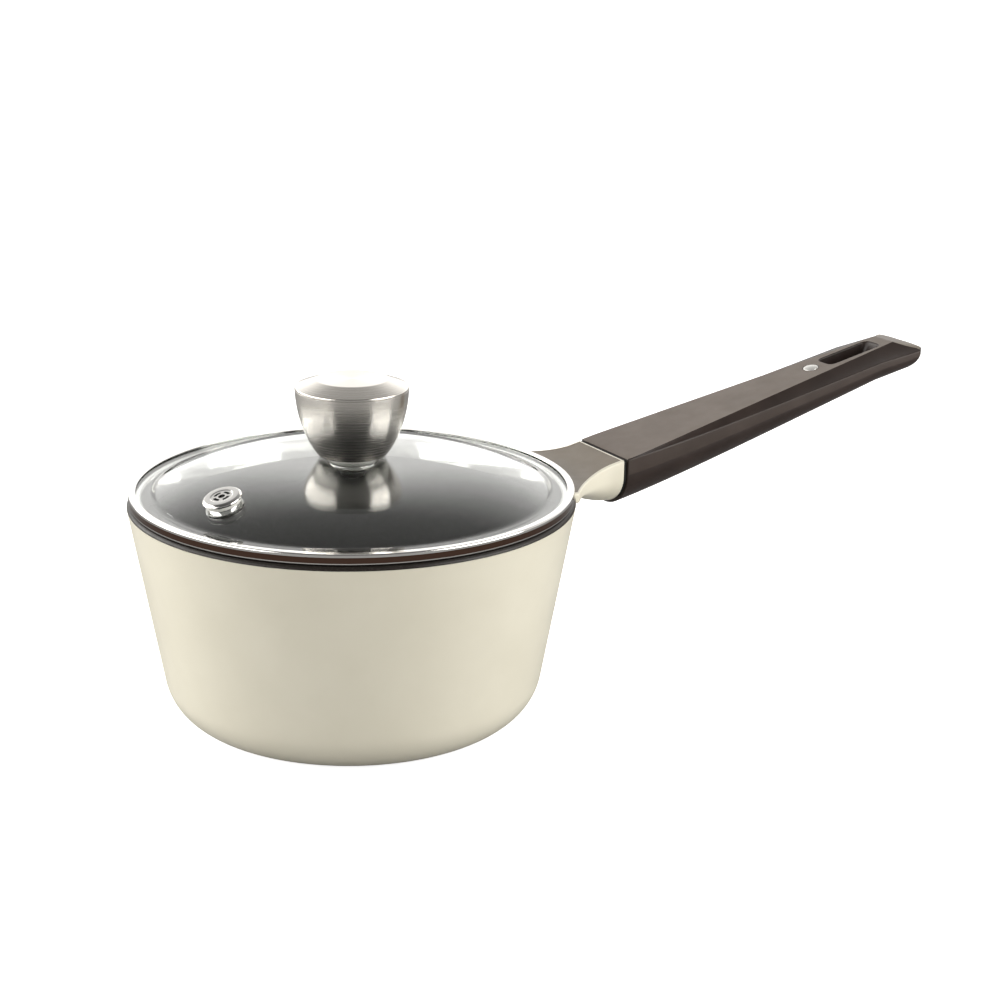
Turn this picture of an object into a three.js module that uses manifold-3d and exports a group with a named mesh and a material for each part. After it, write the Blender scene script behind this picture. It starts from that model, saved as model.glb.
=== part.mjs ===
// Saucepan with a glass lid: a cast pan with an integral handle bracket, a moulded grip on its
// tang, and a rimmed glass lid with a steel knob and a steam vent.
// Millimetres, +Z up. The origin is the centre of the base on the surface the pan stands on,
// and the handle points along +X.
import * as THREE from "three";
import { mergeVertices } from "three/addons/utils/BufferGeometryUtils.js";
import Module from "manifold-3d";

const wasm = await Module();
wasm.setup();

// ---- driving dimensions ----
const gap = 0.3; // clearance between pieces that touch
const screwFit = 0.4; // clearance round a screw's shank
const roundSteps = 60; // facets round the pan and the lid
const smallSteps = 24; // facets round the small turned pieces

const pan = {
  rimRadius: 83.5, // outside, at the edge of the outer enamel
  rimHeight: 83.7, // floor to that edge
  wallLean: 10.14, // degrees off upright
  wall: 3,
  base: 4.5, // thickness of the cooking floor
  lipStep: 0.1, // bare strip between the enamel edge and the rounded lip
  outerFillet: 19.5,
  innerFillet: 16,
};

const disc = { radius: 48, thickness: 2, proud: 0.4 }; // induction plate under the base

const bracket = {
  reach: 26.7, // rim to the joint with the grip
  root: 14, // how far the casting starts inside the rim
  flareStart: -6, // rim to the widest point of the flare
  flareEnd: 22, // rim to the narrowest point
  halfWidth: 16.7,
  flare: 19.3, // extra half width where it meets the pan
  topRise: 4.7, // top face above the enamel edge, at the joint
  rootRise: 1.2, // top face above the enamel edge, at the pan
  riseStart: 0.15, // share of the reach where the top starts to rise
  riseCurve: 1.5,
  flareCurve: 1.8,
  corner: 0.6, // broken top edges
  depth: 20, // joint's top edge down to the underside, at the joint
  rootDepth: 10.5, // and at the pan
  depthCurve: 1.6, // how soon the underside drops away from the pan
  side: 6.4, // straight part of the side
  rootSide: 3.4,
};

const grip = {
  length: 149.1,
  halfWidth: 17.25, // at the joint
  endHalfWidth: 15.5,
  pitch: 12.33, // degrees that the top rises
  stripHalfWidth: 6, // flat strip at the far end of the top
  leastLip: 0.4, // facet left beside the strip at the joint
  jointLipDrop: 0.15, // outer top edges below the strip at the joint
  lipDrop: 2.6, // and along most of the grip
  lipRun: 28, // distance over which they drop away from the joint
  endLipDrop: 1.8, // further drop at the far end
  endLipStart: 0.85, // share of the length where that starts
  hollow: 0.5, // how far the top facets sink below a straight line
  side: 6.4,
  endSide: 2.4,
  belly: 14.9, // rounded underside below the side, at the joint
  endBelly: 6.6,
  noseLength: 5.5, // rounded stretch at the far end
  noseFullness: 0.86, // 1 would bring the end to a point
  leastSide: 0.5,
  cornerRadius: 3.5,
  bevelLength: 9.5, // end bevel along the strip
  bevelDrop: 3.3, // end edge below the strip's plane
  bevelSweep: 1, // how fast the bevel's inner edge runs out across the facets
  leastBevel: 2,
};

const gasket = { thickness: 0.7 };
const tang = { length: 42, root: 6, width: 16, height: 9, below: 9.6 };
const hangSlot = { length: 25.7, width: 9.4, corner: 3, fromEnd: 15.1 };
const badge = { radius: 3.1, thickness: 1.2, dome: 0.5, sunk: 0.8, fromSlot: 7 };

const handleScrew = {
  along: 24, // joint to the screw, along the tang
  shankRadius: 2,
  shankLength: 11,
  headRadius: 4,
  headHeight: 2.2,
  seat: 2.5, // grip material between the tang and the washer
  washer: 0.8,
};

const lid = {
  inset: 0.6, // rim band inside the pan's rim
  strip: 0.4, // thickness of the rim band's steel
  glass: 2.6,
  rimLap: 2.8, // how far the band covers the glass
  bend: 0.8, // outer corners of the band
  skirtInset: 4.4, // band's edge to the top of its inner skirt
  skirtDepth: 8,
  skirtLean: 1.8, // how far the skirt leans in
  flange: 8.1, // flat edge of the glass
  domeRise: 11.5,
  domeCurve: 3.1, // 2 is an even bow; more is flatter in the middle and steeper at the edge
};

const vent = {
  distance: 60, // from the lid's centre
  bearing: -165.5, // degrees from the handle
  capRadius: 7.2,
  capHeight: 1.5,
  capBevel: 0.5,
  tubeRadius: 4.3,
  tubeWall: 0.7,
  tubeBelow: 2.2, // tube under the glass
  rollRadius: 5.2, // rolled end that holds the back ring
  rollHeight: 0.5,
  sealRadius: 6.6,
  sealHeight: 0.8,
  sleeveWall: 0.6,
  ringRadius: 7,
  ringHeight: 1,
  centreHole: 1.25,
  slotInner: 2.05,
  slotOuter: 3.15,
  slotCount: 4,
  slotSweep: 62, // degrees
};

const knob = {
  baseRadius: 13.2,
  topRadius: 21.15,
  bodyHeight: 24.8,
  swellIn: 0.9, // the side curve's control point inside the top radius
  swellHeight: 0.4, // and its height as a share of the body's
  wall: 0.8,
  footBevel: 0.6,
  capRise: 3.6,
  capFlatRadius: 13.4,
  capEdge: 0.8, // upright edge of the cap
  capWall: 1,
  spigotDepth: 4,
  spigotWall: 1,
  insertFlangeRadius: 8,
  insertFlange: 1.5,
  insertBossRadius: 4.8,
  insertHeight: 10,
};

const knobScrew = { shankRadius: 2.5, shankIn: 7, headRadius: 4.6, headHeight: 3 };
const knobSeal = { upperRadius: 10, lowerRadius: 9, thickness: 0.5 };
const cupWasher = { radius: 8.4, thickness: 1, dish: 1, topDish: 0.4, flatRadius: 6.2 };
const springWasher = { radius: 4.5, thickness: 1 };
const glassHole = 4;
const screwHead = { bevel: 0.4, slotWidth: 0.22, slotDepth: 0.8 }; // shares of the head's radius and height

// ---- heights and places that follow from them ----
const lipRadius = pan.wall / 2;
const lipTop = pan.rimHeight + pan.lipStep + lipRadius;
const lean = THREE.MathUtils.degToRad(pan.wallLean);
const seamX = pan.rimRadius + bracket.reach;
const seamTopZ = pan.rimHeight + bracket.topRise;
const gripX = seamX + gasket.thickness + 2 * gap;
const gripSlope = Math.tan(THREE.MathUtils.degToRad(grip.pitch));
const bandRadius = pan.rimRadius - lid.inset;
const bandBottom = lipTop + gap;
const glassFlangeZ = bandBottom + lid.strip + gap;
const bandTop = glassFlangeZ + lid.glass + gap + lid.strip;
const glassRadius = bandRadius - lid.strip - gap;
const domeRadius = glassRadius - lid.flange;
const apexZ = glassFlangeZ + lid.glass + lid.domeRise;
const knobZ = apexZ + knobSeal.thickness + 2 * gap;
const glassUnder = apexZ - lid.glass;

// ---- geometry helpers ----
function solidOf(geometry) {
  const bare = geometry.index ? geometry.toNonIndexed() : geometry.clone();
  bare.deleteAttribute("normal");
  bare.deleteAttribute("uv");
  const welded = mergeVertices(bare, 1e-4);
  const points = welded.getAttribute("position").array;
  const faces = [];
  let volume = 0;
  for (let i = 0; i < welded.index.count; i += 3) {
    const corners = [0, 1, 2].map((k) => welded.index.array[i + k]);
    if (new Set(corners).size < 3) continue;
    const [a, b, c] = corners.map((k) => new THREE.Vector3().fromArray(points, 3 * k));
    volume += a.dot(b.cross(c));
    faces.push(corners);
  }
  if (volume < 0) faces.forEach((corners) => corners.reverse());
  const mesh = new wasm.Mesh({
    numProp: 3,
    vertProperties: new Float32Array(points),
    triVerts: new Uint32Array(faces.flat()),
  });
  return new wasm.Manifold(mesh);
}

function geometryOf(solid) {
  const mesh = solid.getMesh();
  return new THREE.BufferGeometry()
    .setAttribute("position", new THREE.BufferAttribute(mesh.vertProperties, 3))
    .setIndex(new THREE.BufferAttribute(mesh.triVerts, 1));
}

// Turns an outline of [radius, height] points about Z. An outline that stays off the axis closes on itself.
function revolve(outline, steps = roundSteps) {
  const points = outline.map(([r, z]) => new THREE.Vector2(Math.max(r, 0), z));
  if (outline[0][0] > 0 || outline.at(-1)[0] > 0) points.push(points[0].clone());
  return solidOf(new THREE.LatheGeometry(points, steps).rotateX(Math.PI / 2));
}

function rod(radius, low, high, steps = smallSteps) {
  const geometry = new THREE.CylinderGeometry(radius, radius, high - low, steps);
  return solidOf(geometry.rotateX(Math.PI / 2).translate(0, 0, (low + high) / 2));
}

function ringSolid(inner, outer, low, high, steps = smallSteps) {
  return revolve([[inner, low], [outer, low], [outer, high], [inner, high]], steps);
}

function bar(x0, x1, width, height) {
  return solidOf(new THREE.BoxGeometry(x1 - x0, width, height).translate((x0 + x1) / 2, 0, 0));
}

function arc(r, z, radius, from, to, steps) {
  const [a, b] = [from, to].map(THREE.MathUtils.degToRad);
  return Array.from({ length: steps + 1 }, (_, i) => {
    const angle = a + ((b - a) * i) / steps;
    return [r + radius * Math.cos(angle), z + radius * Math.sin(angle)];
  });
}

// Joins sections that have the same number of [y, z] points, each at its own x.
function loft(sections) {
  const count = sections[0].points.length;
  const vertices = sections.flatMap(({ x, points }) => points.flatMap(([y, z]) => [x, y, z]));
  const faces = [];
  for (let s = 0; s < sections.length - 1; s += 1) {
    for (let i = 0; i < count; i += 1) {
      const [a, b] = [s * count + i, s * count + ((i + 1) % count)];
      faces.push(a, b, b + count, a, b + count, a + count);
    }
  }
  for (const s of [0, sections.length - 1]) {
    const outline = sections[s].points.map(([y, z]) => new THREE.Vector2(y, z));
    for (const [a, b, c] of THREE.ShapeUtils.triangulateShape(outline, [])) {
      const corners = s === 0 ? [a, c, b] : [a, b, c];
      faces.push(...corners.map((k) => k + s * count));
    }
  }
  const geometry = new THREE.BufferGeometry();
  geometry.setAttribute("position", new THREE.Float32BufferAttribute(vertices, 3));
  return solidOf(geometry.setIndex(faces));
}

const mix = THREE.MathUtils.lerp;
const share = (value, low, high) => THREE.MathUtils.clamp((value - low) / (high - low), 0, 1);
const bySize = (from, to, steps) => Array.from({ length: steps + 1 }, (_, i) => mix(from, to, i / steps));

// ---- materials ----
const metal = (color, roughness) => new THREE.MeshStandardMaterial({ color, roughness, metalness: 1 });
const plain = (color, roughness) => new THREE.MeshStandardMaterial({ color, roughness, metalness: 0 });
const finishes = {
  enamel: plain(0xe6e0cc, 0.4),
  discSteel: metal(0xa8a8a6, 0.4),
  phenolic: plain(0x4f433f, 0.55),
  gasketRubber: plain(0x151515, 0.8),
  badgeSteel: metal(0xc9c9c7, 0.25),
  polishedSteel: metal(0xd4d4d2, 0.15),
  brushedSteel: metal(0xb6b3ae, 0.35),
  silicone: plain(0xdedcd6, 0.6),
  screwSteel: metal(0x9b9b99, 0.35),
  clearGlass: new THREE.MeshStandardMaterial({
    color: 0xdfe6e4,
    roughness: 0.05,
    metalness: 0,
    transparent: true,
    opacity: 0.35,
  }),
};

function part(name, solid, finish) {
  const mesh = new THREE.Mesh(geometryOf(solid), finishes[finish]);
  mesh.name = name;
  return mesh;
}

// ---- pan ----
// One side of the bowl's wall, from the axis out along the floor, round the fillet and up the lean.
function bowlOutline(inset, floorZ, fillet, topZ) {
  const wallAt = (z) => pan.rimRadius - (pan.rimHeight - z) * Math.tan(lean) - inset / Math.cos(lean);
  const centreZ = floorZ + fillet;
  const centreR = wallAt(centreZ) - fillet / Math.cos(lean);
  return [[0, floorZ], ...arc(centreR, centreZ, fillet, -90, -pan.wallLean, 8), [wallAt(topZ), topZ]];
}

function bracketSection(x) {
  const out = x - pan.rimRadius;
  const narrowing = share(out, bracket.flareStart, bracket.flareEnd);
  const halfWidth = bracket.halfWidth + bracket.flare * (1 - narrowing) ** bracket.flareCurve;
  const rise = share(out, bracket.riseStart * bracket.reach, bracket.reach) ** bracket.riseCurve;
  const topZ = pan.rimHeight + mix(bracket.rootRise, bracket.topRise, rise);
  const deepening = 1 - (1 - share(out, 0, bracket.reach)) ** bracket.depthCurve;
  const lowZ = seamTopZ - mix(bracket.rootDepth, bracket.depth, deepening);
  const sideZ = topZ - mix(bracket.rootSide, bracket.side, deepening);
  const { corner } = bracket;
  const belly = arc(0, 0, 1, 0, 180, 12).map(([c, s]) => [-halfWidth * c, sideZ - (sideZ - lowZ) * s]);
  return {
    x,
    points: [
      [-halfWidth, topZ - corner],
      ...belly,
      [halfWidth, topZ - corner],
      [halfWidth - corner, topZ],
      [-halfWidth + corner, topZ],
    ],
  };
}

// The tang's own frame: its axis along local X, starting under the top face at the joint.
const tangFrame = new THREE.Matrix4()
  .makeRotationY(-THREE.MathUtils.degToRad(grip.pitch))
  .setPosition(seamX, 0, seamTopZ - tang.below);
const onTang = (solid) => solid.transform(tangFrame.elements);
const atScrew = (solid) => onTang(solid.translate([handleScrew.along, 0, 0]));

function panBody() {
  const lipCentreR = pan.rimRadius - lipRadius;
  const lipCentreZ = pan.rimHeight + pan.lipStep;
  const outer = revolve([
    ...bowlOutline(0, disc.proud, pan.outerFillet, pan.rimHeight),
    ...arc(lipCentreR, lipCentreZ, lipRadius, 0, 90, 4),
    [0, lipTop],
  ]);
  const cavity = revolve([
    ...bowlOutline(pan.wall, disc.proud + pan.base, pan.innerFillet, pan.rimHeight),
    ...arc(lipCentreR, lipCentreZ, lipRadius, 180, 90, 4),
    [lipCentreR, lipTop + bracket.depth],
    [0, lipTop + bracket.depth],
  ]);
  const stations = bySize(pan.rimRadius - bracket.root, seamX, 12);
  const tangBar = onTang(bar(-tang.root, tang.length, tang.width, tang.height));
  const screwHole = atScrew(rod(handleScrew.shankRadius + screwFit, -tang.height, tang.height));
  const recess = rod(disc.radius + gap, -1, disc.thickness + gap, roundSteps);
  return outer.add(loft(stations.map(bracketSection))).add(tangBar).subtract(cavity)
    .subtract(recess).subtract(screwHole);
}

const inductionDisc = () => rod(disc.radius, 0, disc.thickness, roundSteps);

// ---- handle ----
// Height of the grip's top above the joint, at a distance along the grip and across it: a flat strip
// that narrows towards the far end, sunken facets down to the lips, and a bevel up to the end edge.
function gripEdge(along) {
  const cornerIn = Math.max(grip.cornerRadius - (grip.length - along), 0);
  const corner = grip.cornerRadius - Math.sqrt(grip.cornerRadius ** 2 - cornerIn ** 2);
  return mix(grip.halfWidth, grip.endHalfWidth, along / grip.length) - corner;
}

function gripStrip(along) {
  const narrowed = share(along, 0, grip.length - grip.bevelLength);
  return Math.min(mix(grip.halfWidth, grip.stripHalfWidth, narrowed), gripEdge(along) - grip.leastLip);
}

function facetHeight(along, across) {
  const fullEdge = mix(grip.halfWidth, grip.endHalfWidth, along / grip.length);
  const out = share(across, gripStrip(along), fullEdge);
  const endDrop = grip.endLipDrop * share(along, grip.endLipStart * grip.length, grip.length);
  const drop = grip.jointLipDrop + grip.lipDrop * (1 - Math.exp(-along / grip.lipRun)) + endDrop;
  const sink = 4 * grip.hollow * (along / grip.length) * out * (1 - out);
  return (gripX - seamX + along) * gripSlope - drop * out - sink;
}

function gripTop(along, across) {
  const runOut = Math.max(across - grip.stripHalfWidth, 0) * grip.bevelSweep;
  const inner = grip.length - Math.max(grip.bevelLength - runOut, grip.leastBevel);
  if (along <= inner) return facetHeight(along, across);
  const endHeight = (gripX - seamX + grip.length) * gripSlope - grip.bevelDrop;
  return mix(facetHeight(inner, across), endHeight, share(along, inner, grip.length));
}

// The grip's section: the top above, short upright sides and a rounded belly. The far end is rounded
// in plan and below.
function gripSection(along) {
  const t = along / grip.length;
  const nose = Math.sqrt(1 - (share(grip.length - along, grip.noseLength, 0) * grip.noseFullness) ** 2);
  const edge = gripEdge(along);
  const strip = gripStrip(along);
  const edgeZ = seamTopZ + gripTop(along, edge);
  const lowerEdgeZ = seamTopZ + facetHeight(along, edge) - mix(grip.side, grip.endSide, t) * nose;
  const sideZ = Math.min(lowerEdgeZ, edgeZ - grip.leastSide);
  const belly = mix(grip.belly, grip.endBelly, t) * nose;
  const facet = [0, 1 / 3, 2 / 3].map((part) => {
    const across = mix(strip, edge, part);
    return [across, seamTopZ + gripTop(along, across)];
  });
  const mirrored = facet.map(([y, z]) => [-y, z]);
  const under = arc(0, 0, 1, 0, 180, 14).map(([c, s]) => [-edge * c, sideZ - belly * s]);
  return {
    x: gripX + along,
    points: [[-edge, edgeZ], ...under, [edge, edgeZ], ...facet.reverse(), ...mirrored],
  };
}

const slotEndX = gripX + grip.length - hangSlot.fromEnd;
const slotStartX = slotEndX - hangSlot.length;
const badgeX = slotStartX - badge.fromSlot;
const badgeFrame = new THREE.Matrix4()
  .makeRotationY(-THREE.MathUtils.degToRad(grip.pitch))
  .setPosition(badgeX, 0, seamTopZ + (badgeX - seamX) * gripSlope);

function slotCutter() {
  const across = hangSlot.width / 2 - hangSlot.corner;
  const outline = new THREE.Shape();
  const [far, near] = [slotEndX - hangSlot.corner, slotStartX + hangSlot.corner];
  [[far, -across], [far, across], [near, across], [near, -across]].forEach(([x, y], i) => {
    const start = ((i - 1) * Math.PI) / 2;
    outline.absarc(x, y, hangSlot.corner, start, start + Math.PI / 2);
  });
  const depth = 2 * (grip.belly + grip.side + grip.length * gripSlope);
  const geometry = new THREE.ExtrudeGeometry(outline, { depth, bevelEnabled: false, curveSegments: 6 });
  return solidOf(geometry.translate(0, 0, seamTopZ - grip.belly - grip.side));
}

function handleGrip() {
  const endStations = [13, 10, 7.5, 5.5, 4, 2.6, 1.4, 0.5, 0].map((fromEnd) => grip.length - fromEnd);
  const stations = [...bySize(0, endStations[0], 9), ...endStations.slice(1)];
  const socket = onTang(bar(-tang.root, tang.length + gap, tang.width + 2 * gap, tang.height + 2 * gap));
  const seatZ = -(tang.height / 2 + gap + handleScrew.seat);
  const counterbore = atScrew(rod(handleScrew.headRadius + 2 * gap, seatZ - grip.belly, seatZ));
  const clearHole = atScrew(rod(handleScrew.shankRadius + screwFit, seatZ - 1, 0));
  const badgeSeat = rod(badge.radius + gap, -badge.sunk - gap, 5).transform(badgeFrame.elements);
  return loft(stations.map(gripSection)).subtract(socket).subtract(counterbore)
    .subtract(clearHole).subtract(badgeSeat).subtract(slotCutter());
}

function handleGasket() {
  const { points } = bracketSection(seamX);
  const x = seamX + gap;
  const plate = loft([{ x, points }, { x: x + gasket.thickness, points }]);
  return plate.subtract(onTang(bar(-tang.root, tang.root, tang.width + 2 * gap, tang.height + 2 * gap)));
}

function handleBadge() {
  const low = -badge.sunk;
  const high = low + badge.thickness;
  const disk = [[0, low], [badge.radius, low], [badge.radius, high]];
  const dome = [1, 2].map((i) => [badge.radius * (1 - i / 3), high + badge.dome * (1 - (1 - i / 3) ** 2)]);
  return revolve([...disk, ...dome, [0, high + badge.dome]], smallSteps).transform(badgeFrame.elements);
}

const washerTop = -(tang.height / 2 + gap + handleScrew.seat + gap);

function handleSpringWasher() {
  const { shankRadius, headRadius, washer } = handleScrew;
  return atScrew(ringSolid(shankRadius + screwFit, headRadius, washerTop - washer, washerTop));
}

function panHeadScrew(shankRadius, shankTop, headRadius, headHeight, headTop) {
  const crown = headTop - headHeight;
  const bevel = headHeight * screwHead.bevel;
  const head = revolve([
    [0, crown],
    [headRadius - bevel, crown],
    [headRadius, crown + bevel],
    [headRadius, headTop],
    [shankRadius, headTop],
    [shankRadius, shankTop],
    [0, shankTop],
  ], smallSteps);
  const recess = [0, 90].map((turn) => {
    const { slotWidth, slotDepth } = screwHead;
    const slot = new THREE.BoxGeometry(headRadius, headRadius * slotWidth, headHeight * slotDepth);
    return solidOf(slot.rotateZ(THREE.MathUtils.degToRad(turn)).translate(0, 0, crown));
  });
  return recess.reduce((screw, slot) => screw.subtract(slot), head);
}

function handleScrewSolid() {
  const { shankRadius, shankLength, headRadius, headHeight, washer } = handleScrew;
  const headTop = washerTop - washer - gap;
  return atScrew(panHeadScrew(shankRadius, headTop + shankLength, headRadius, headHeight, headTop));
}

// ---- lid ----
const domeTop = (r) => apexZ - lid.domeRise * (Math.min(r, domeRadius) / domeRadius) ** lid.domeCurve;

// The vent's own frame: Z along the glass's outward normal, starting on its outer face.
const ventFrame = (() => {
  const bearing = THREE.MathUtils.degToRad(vent.bearing);
  const outShare = vent.distance / domeRadius;
  const tilt = Math.atan((lid.domeCurve * lid.domeRise * outShare ** (lid.domeCurve - 1)) / domeRadius);
  const turned = new THREE.Matrix4().makeRotationZ(bearing);
  const leaning = new THREE.Matrix4().makeRotationY(tilt);
  const moved = new THREE.Matrix4().makeTranslation(vent.distance, 0, domeTop(vent.distance));
  return turned.multiply(moved).multiply(leaning);
})();
const atVent = (solid) => solid.transform(ventFrame.elements);
const sleeveRadius = vent.tubeRadius + gap + vent.sleeveWall;

function lidGlass() {
  const radii = bySize(0, domeRadius, 10);
  const top = radii.map((r) => [r, domeTop(r)]);
  const flange = [[glassRadius, glassFlangeZ + lid.glass], [glassRadius, glassFlangeZ]];
  const under = top.map(([r, z]) => [r, z - lid.glass]).reverse();
  const centreHole = rod(glassHole, glassUnder - 1, apexZ + 1);
  const ventHole = atVent(rod(sleeveRadius + gap, -2 * lid.glass, lid.glass));
  return revolve([...top, ...flange, ...under]).subtract(centreHole).subtract(ventHole);
}

function lidRimBand() {
  const { strip, bend, rimLap, skirtInset, skirtDepth, skirtLean } = lid;
  const inner = bandRadius - strip;
  const turn = bend - strip;
  const soft = 0.3 * bend; // middle point of a bent corner
  const skirtTop = bandRadius - skirtInset;
  const skirtFoot = skirtTop - skirtLean;
  return revolve([
    [bandRadius - rimLap, bandTop],
    [bandRadius - bend, bandTop],
    [bandRadius - soft, bandTop - soft],
    [bandRadius, bandTop - bend],
    [bandRadius, bandBottom + bend],
    [bandRadius - soft, bandBottom + soft],
    [bandRadius - bend, bandBottom],
    [skirtTop, bandBottom],
    [skirtFoot, bandBottom - skirtDepth],
    [skirtFoot - strip, bandBottom - skirtDepth],
    [skirtTop - strip, bandBottom + strip],
    [inner - turn, bandBottom + strip],
    [inner, bandBottom + strip + turn],
    [inner, bandTop - strip - turn],
    [inner - turn, bandTop - strip],
    [bandRadius - rimLap, bandTop - strip],
  ]);
}

const capLow = vent.sealHeight + 2 * gap;

function ventCap() {
  const { capRadius, capHeight, capBevel, tubeRadius, tubeWall, rollRadius, rollHeight } = vent;
  const foot = -lid.glass - vent.tubeBelow;
  const shell = revolve([
    [0, capLow],
    [tubeRadius - tubeWall, capLow],
    [tubeRadius - tubeWall, foot],
    [rollRadius, foot],
    [rollRadius, foot + rollHeight],
    [tubeRadius, foot + rollHeight],
    [tubeRadius, capLow],
    [capRadius, capLow],
    [capRadius, capLow + capHeight - capBevel],
    [capRadius - capBevel, capLow + capHeight],
    [0, capLow + capHeight],
  ], smallSteps);
  const slots = Array.from({ length: vent.slotCount }, (_, i) => {
    const middle = (360 * i) / vent.slotCount;
    const sweep = THREE.MathUtils.degToRad(vent.slotSweep);
    const start = THREE.MathUtils.degToRad(middle) - sweep / 2;
    const outline = new THREE.Shape();
    outline.absarc(0, 0, vent.slotOuter, start, start + sweep);
    outline.absarc(0, 0, vent.slotInner, start + sweep, start, true);
    const cut = { depth: 2 * capHeight, bevelEnabled: false, curveSegments: 6 };
    return solidOf(new THREE.ExtrudeGeometry(outline, cut).translate(0, 0, capLow - capHeight / 2));
  });
  const centre = rod(vent.centreHole, capLow - 1, capLow + 2 * capHeight, 16);
  return atVent(slots.reduce((cap, slot) => cap.subtract(slot), shell.subtract(centre)));
}

function ventSeal() {
  const inner = vent.tubeRadius + gap;
  return atVent(revolve([
    [inner, -lid.glass],
    [sleeveRadius, -lid.glass],
    [sleeveRadius, gap],
    [vent.sealRadius, gap],
    [vent.sealRadius, gap + vent.sealHeight],
    [inner, gap + vent.sealHeight],
  ], smallSteps));
}

function ventBackRing() {
  const top = -lid.glass - gap;
  return atVent(ringSolid(vent.tubeRadius + gap, vent.ringRadius, top - vent.ringHeight, top));
}

// ---- knob ----
// The knob's side: a full curve that leaves the foot steeply and is nearly upright at the cap.
function knobSide(inset) {
  const curve = new THREE.QuadraticBezierCurve(
    new THREE.Vector2(knob.baseRadius - inset, knob.footBevel),
    new THREE.Vector2(knob.topRadius - inset - knob.swellIn, knob.swellHeight * knob.bodyHeight),
    new THREE.Vector2(knob.topRadius - inset, knob.bodyHeight),
  );
  return curve.getPoints(10).map(({ x, y }) => [x, y]);
}

const onKnob = (solid) => solid.translate([0, 0, knobZ]);
const shankHole = knobScrew.shankRadius + screwFit;

function knobShell() {
  const inside = knobSide(knob.wall).filter(([, z]) => z > knob.wall + gap).reverse();
  return onKnob(revolve([
    [shankHole, 0],
    [knob.baseRadius - knob.footBevel, 0],
    ...knobSide(0),
    ...inside,
    [inside.at(-1)[0] - knob.wall, knob.wall],
    [shankHole, knob.wall],
  ], smallSteps));
}

function knobCap() {
  const low = knob.bodyHeight + gap;
  const edge = low + knob.capEdge;
  const top = low + knob.capRise;
  const spigot = knob.topRadius - knob.wall - 3 * gap;
  return onKnob(revolve([
    [0, top],
    [0, top - knob.capWall],
    [knob.capFlatRadius - knob.capWall, top - knob.capWall],
    [spigot - knob.spigotWall, low],
    [spigot - knob.spigotWall, low - knob.spigotDepth],
    [spigot, low - knob.spigotDepth],
    [spigot, low],
    [knob.topRadius, low],
    [knob.topRadius, edge],
    [knob.capFlatRadius, top],
  ].reverse(), smallSteps));
}

function knobInsert() {
  const low = knob.wall + gap;
  return onKnob(revolve([
    [shankHole, low],
    [knob.insertFlangeRadius, low],
    [knob.insertFlangeRadius, low + knob.insertFlange],
    [knob.insertBossRadius, low + knob.insertFlange],
    [knob.insertBossRadius, low + knob.insertHeight],
    [shankHole, low + knob.insertHeight],
  ], smallSteps));
}

const lowerSealTop = glassUnder - gap;
const cupTop = lowerSealTop - knobSeal.thickness - gap;
const lidWasherTop = cupTop - cupWasher.thickness - gap;
const lidHeadTop = lidWasherTop - springWasher.thickness - gap;

const knobUpperSeal = () => ringSolid(shankHole, knobSeal.upperRadius, apexZ + gap, knobZ - gap);
const knobLowerSeal = () =>
  ringSolid(shankHole, knobSeal.lowerRadius, lowerSealTop - knobSeal.thickness, lowerSealTop);
const knobSpringWasher = () =>
  ringSolid(shankHole, springWasher.radius, lidWasherTop - springWasher.thickness, lidWasherTop);

function knobCupWasher() {
  const { radius, thickness, dish, topDish, flatRadius } = cupWasher;
  const low = cupTop - thickness;
  return revolve([
    [shankHole, low],
    [flatRadius, low],
    [radius, low - dish],
    [radius, cupTop - topDish],
    [flatRadius, cupTop],
    [shankHole, cupTop],
  ], smallSteps);
}

function knobScrewSolid() {
  const shankTop = knobZ + knobScrew.shankIn;
  const { shankRadius, headRadius, headHeight } = knobScrew;
  return panHeadScrew(shankRadius, shankTop, headRadius, headHeight, lidHeadTop);
}

// ---- assembly ----
const saucepan = new THREE.Group();
const panGroup = new THREE.Group();
panGroup.add(
  part("pan_body", panBody(), "enamel"),
  part("induction_disc", inductionDisc(), "discSteel"),
  part("handle_gasket", handleGasket(), "gasketRubber"),
  part("handle_grip", handleGrip(), "phenolic"),
  part("handle_badge", handleBadge(), "badgeSteel"),
  part("handle_spring_washer", handleSpringWasher(), "screwSteel"),
  part("handle_screw", handleScrewSolid(), "screwSteel"),
);
const lidGroup = new THREE.Group();
lidGroup.add(
  part("lid_glass", lidGlass(), "clearGlass"),
  part("lid_rim_band", lidRimBand(), "polishedSteel"),
  part("vent_cap", ventCap(), "polishedSteel"),
  part("vent_seal", ventSeal(), "silicone"),
  part("vent_back_ring", ventBackRing(), "polishedSteel"),
  part("knob_shell", knobShell(), "brushedSteel"),
  part("knob_cap", knobCap(), "brushedSteel"),
  part("knob_insert", knobInsert(), "screwSteel"),
  part("knob_upper_seal", knobUpperSeal(), "silicone"),
  part("knob_lower_seal", knobLowerSeal(), "silicone"),
  part("knob_cup_washer", knobCupWasher(), "polishedSteel"),
  part("knob_spring_washer", knobSpringWasher(), "screwSteel"),
  part("knob_screw", knobScrewSolid(), "screwSteel"),
);
saucepan.add(panGroup, lidGroup);

export default saucepan;
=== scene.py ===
import math

import bmesh
import bpy
from mathutils import Matrix, Vector


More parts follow.
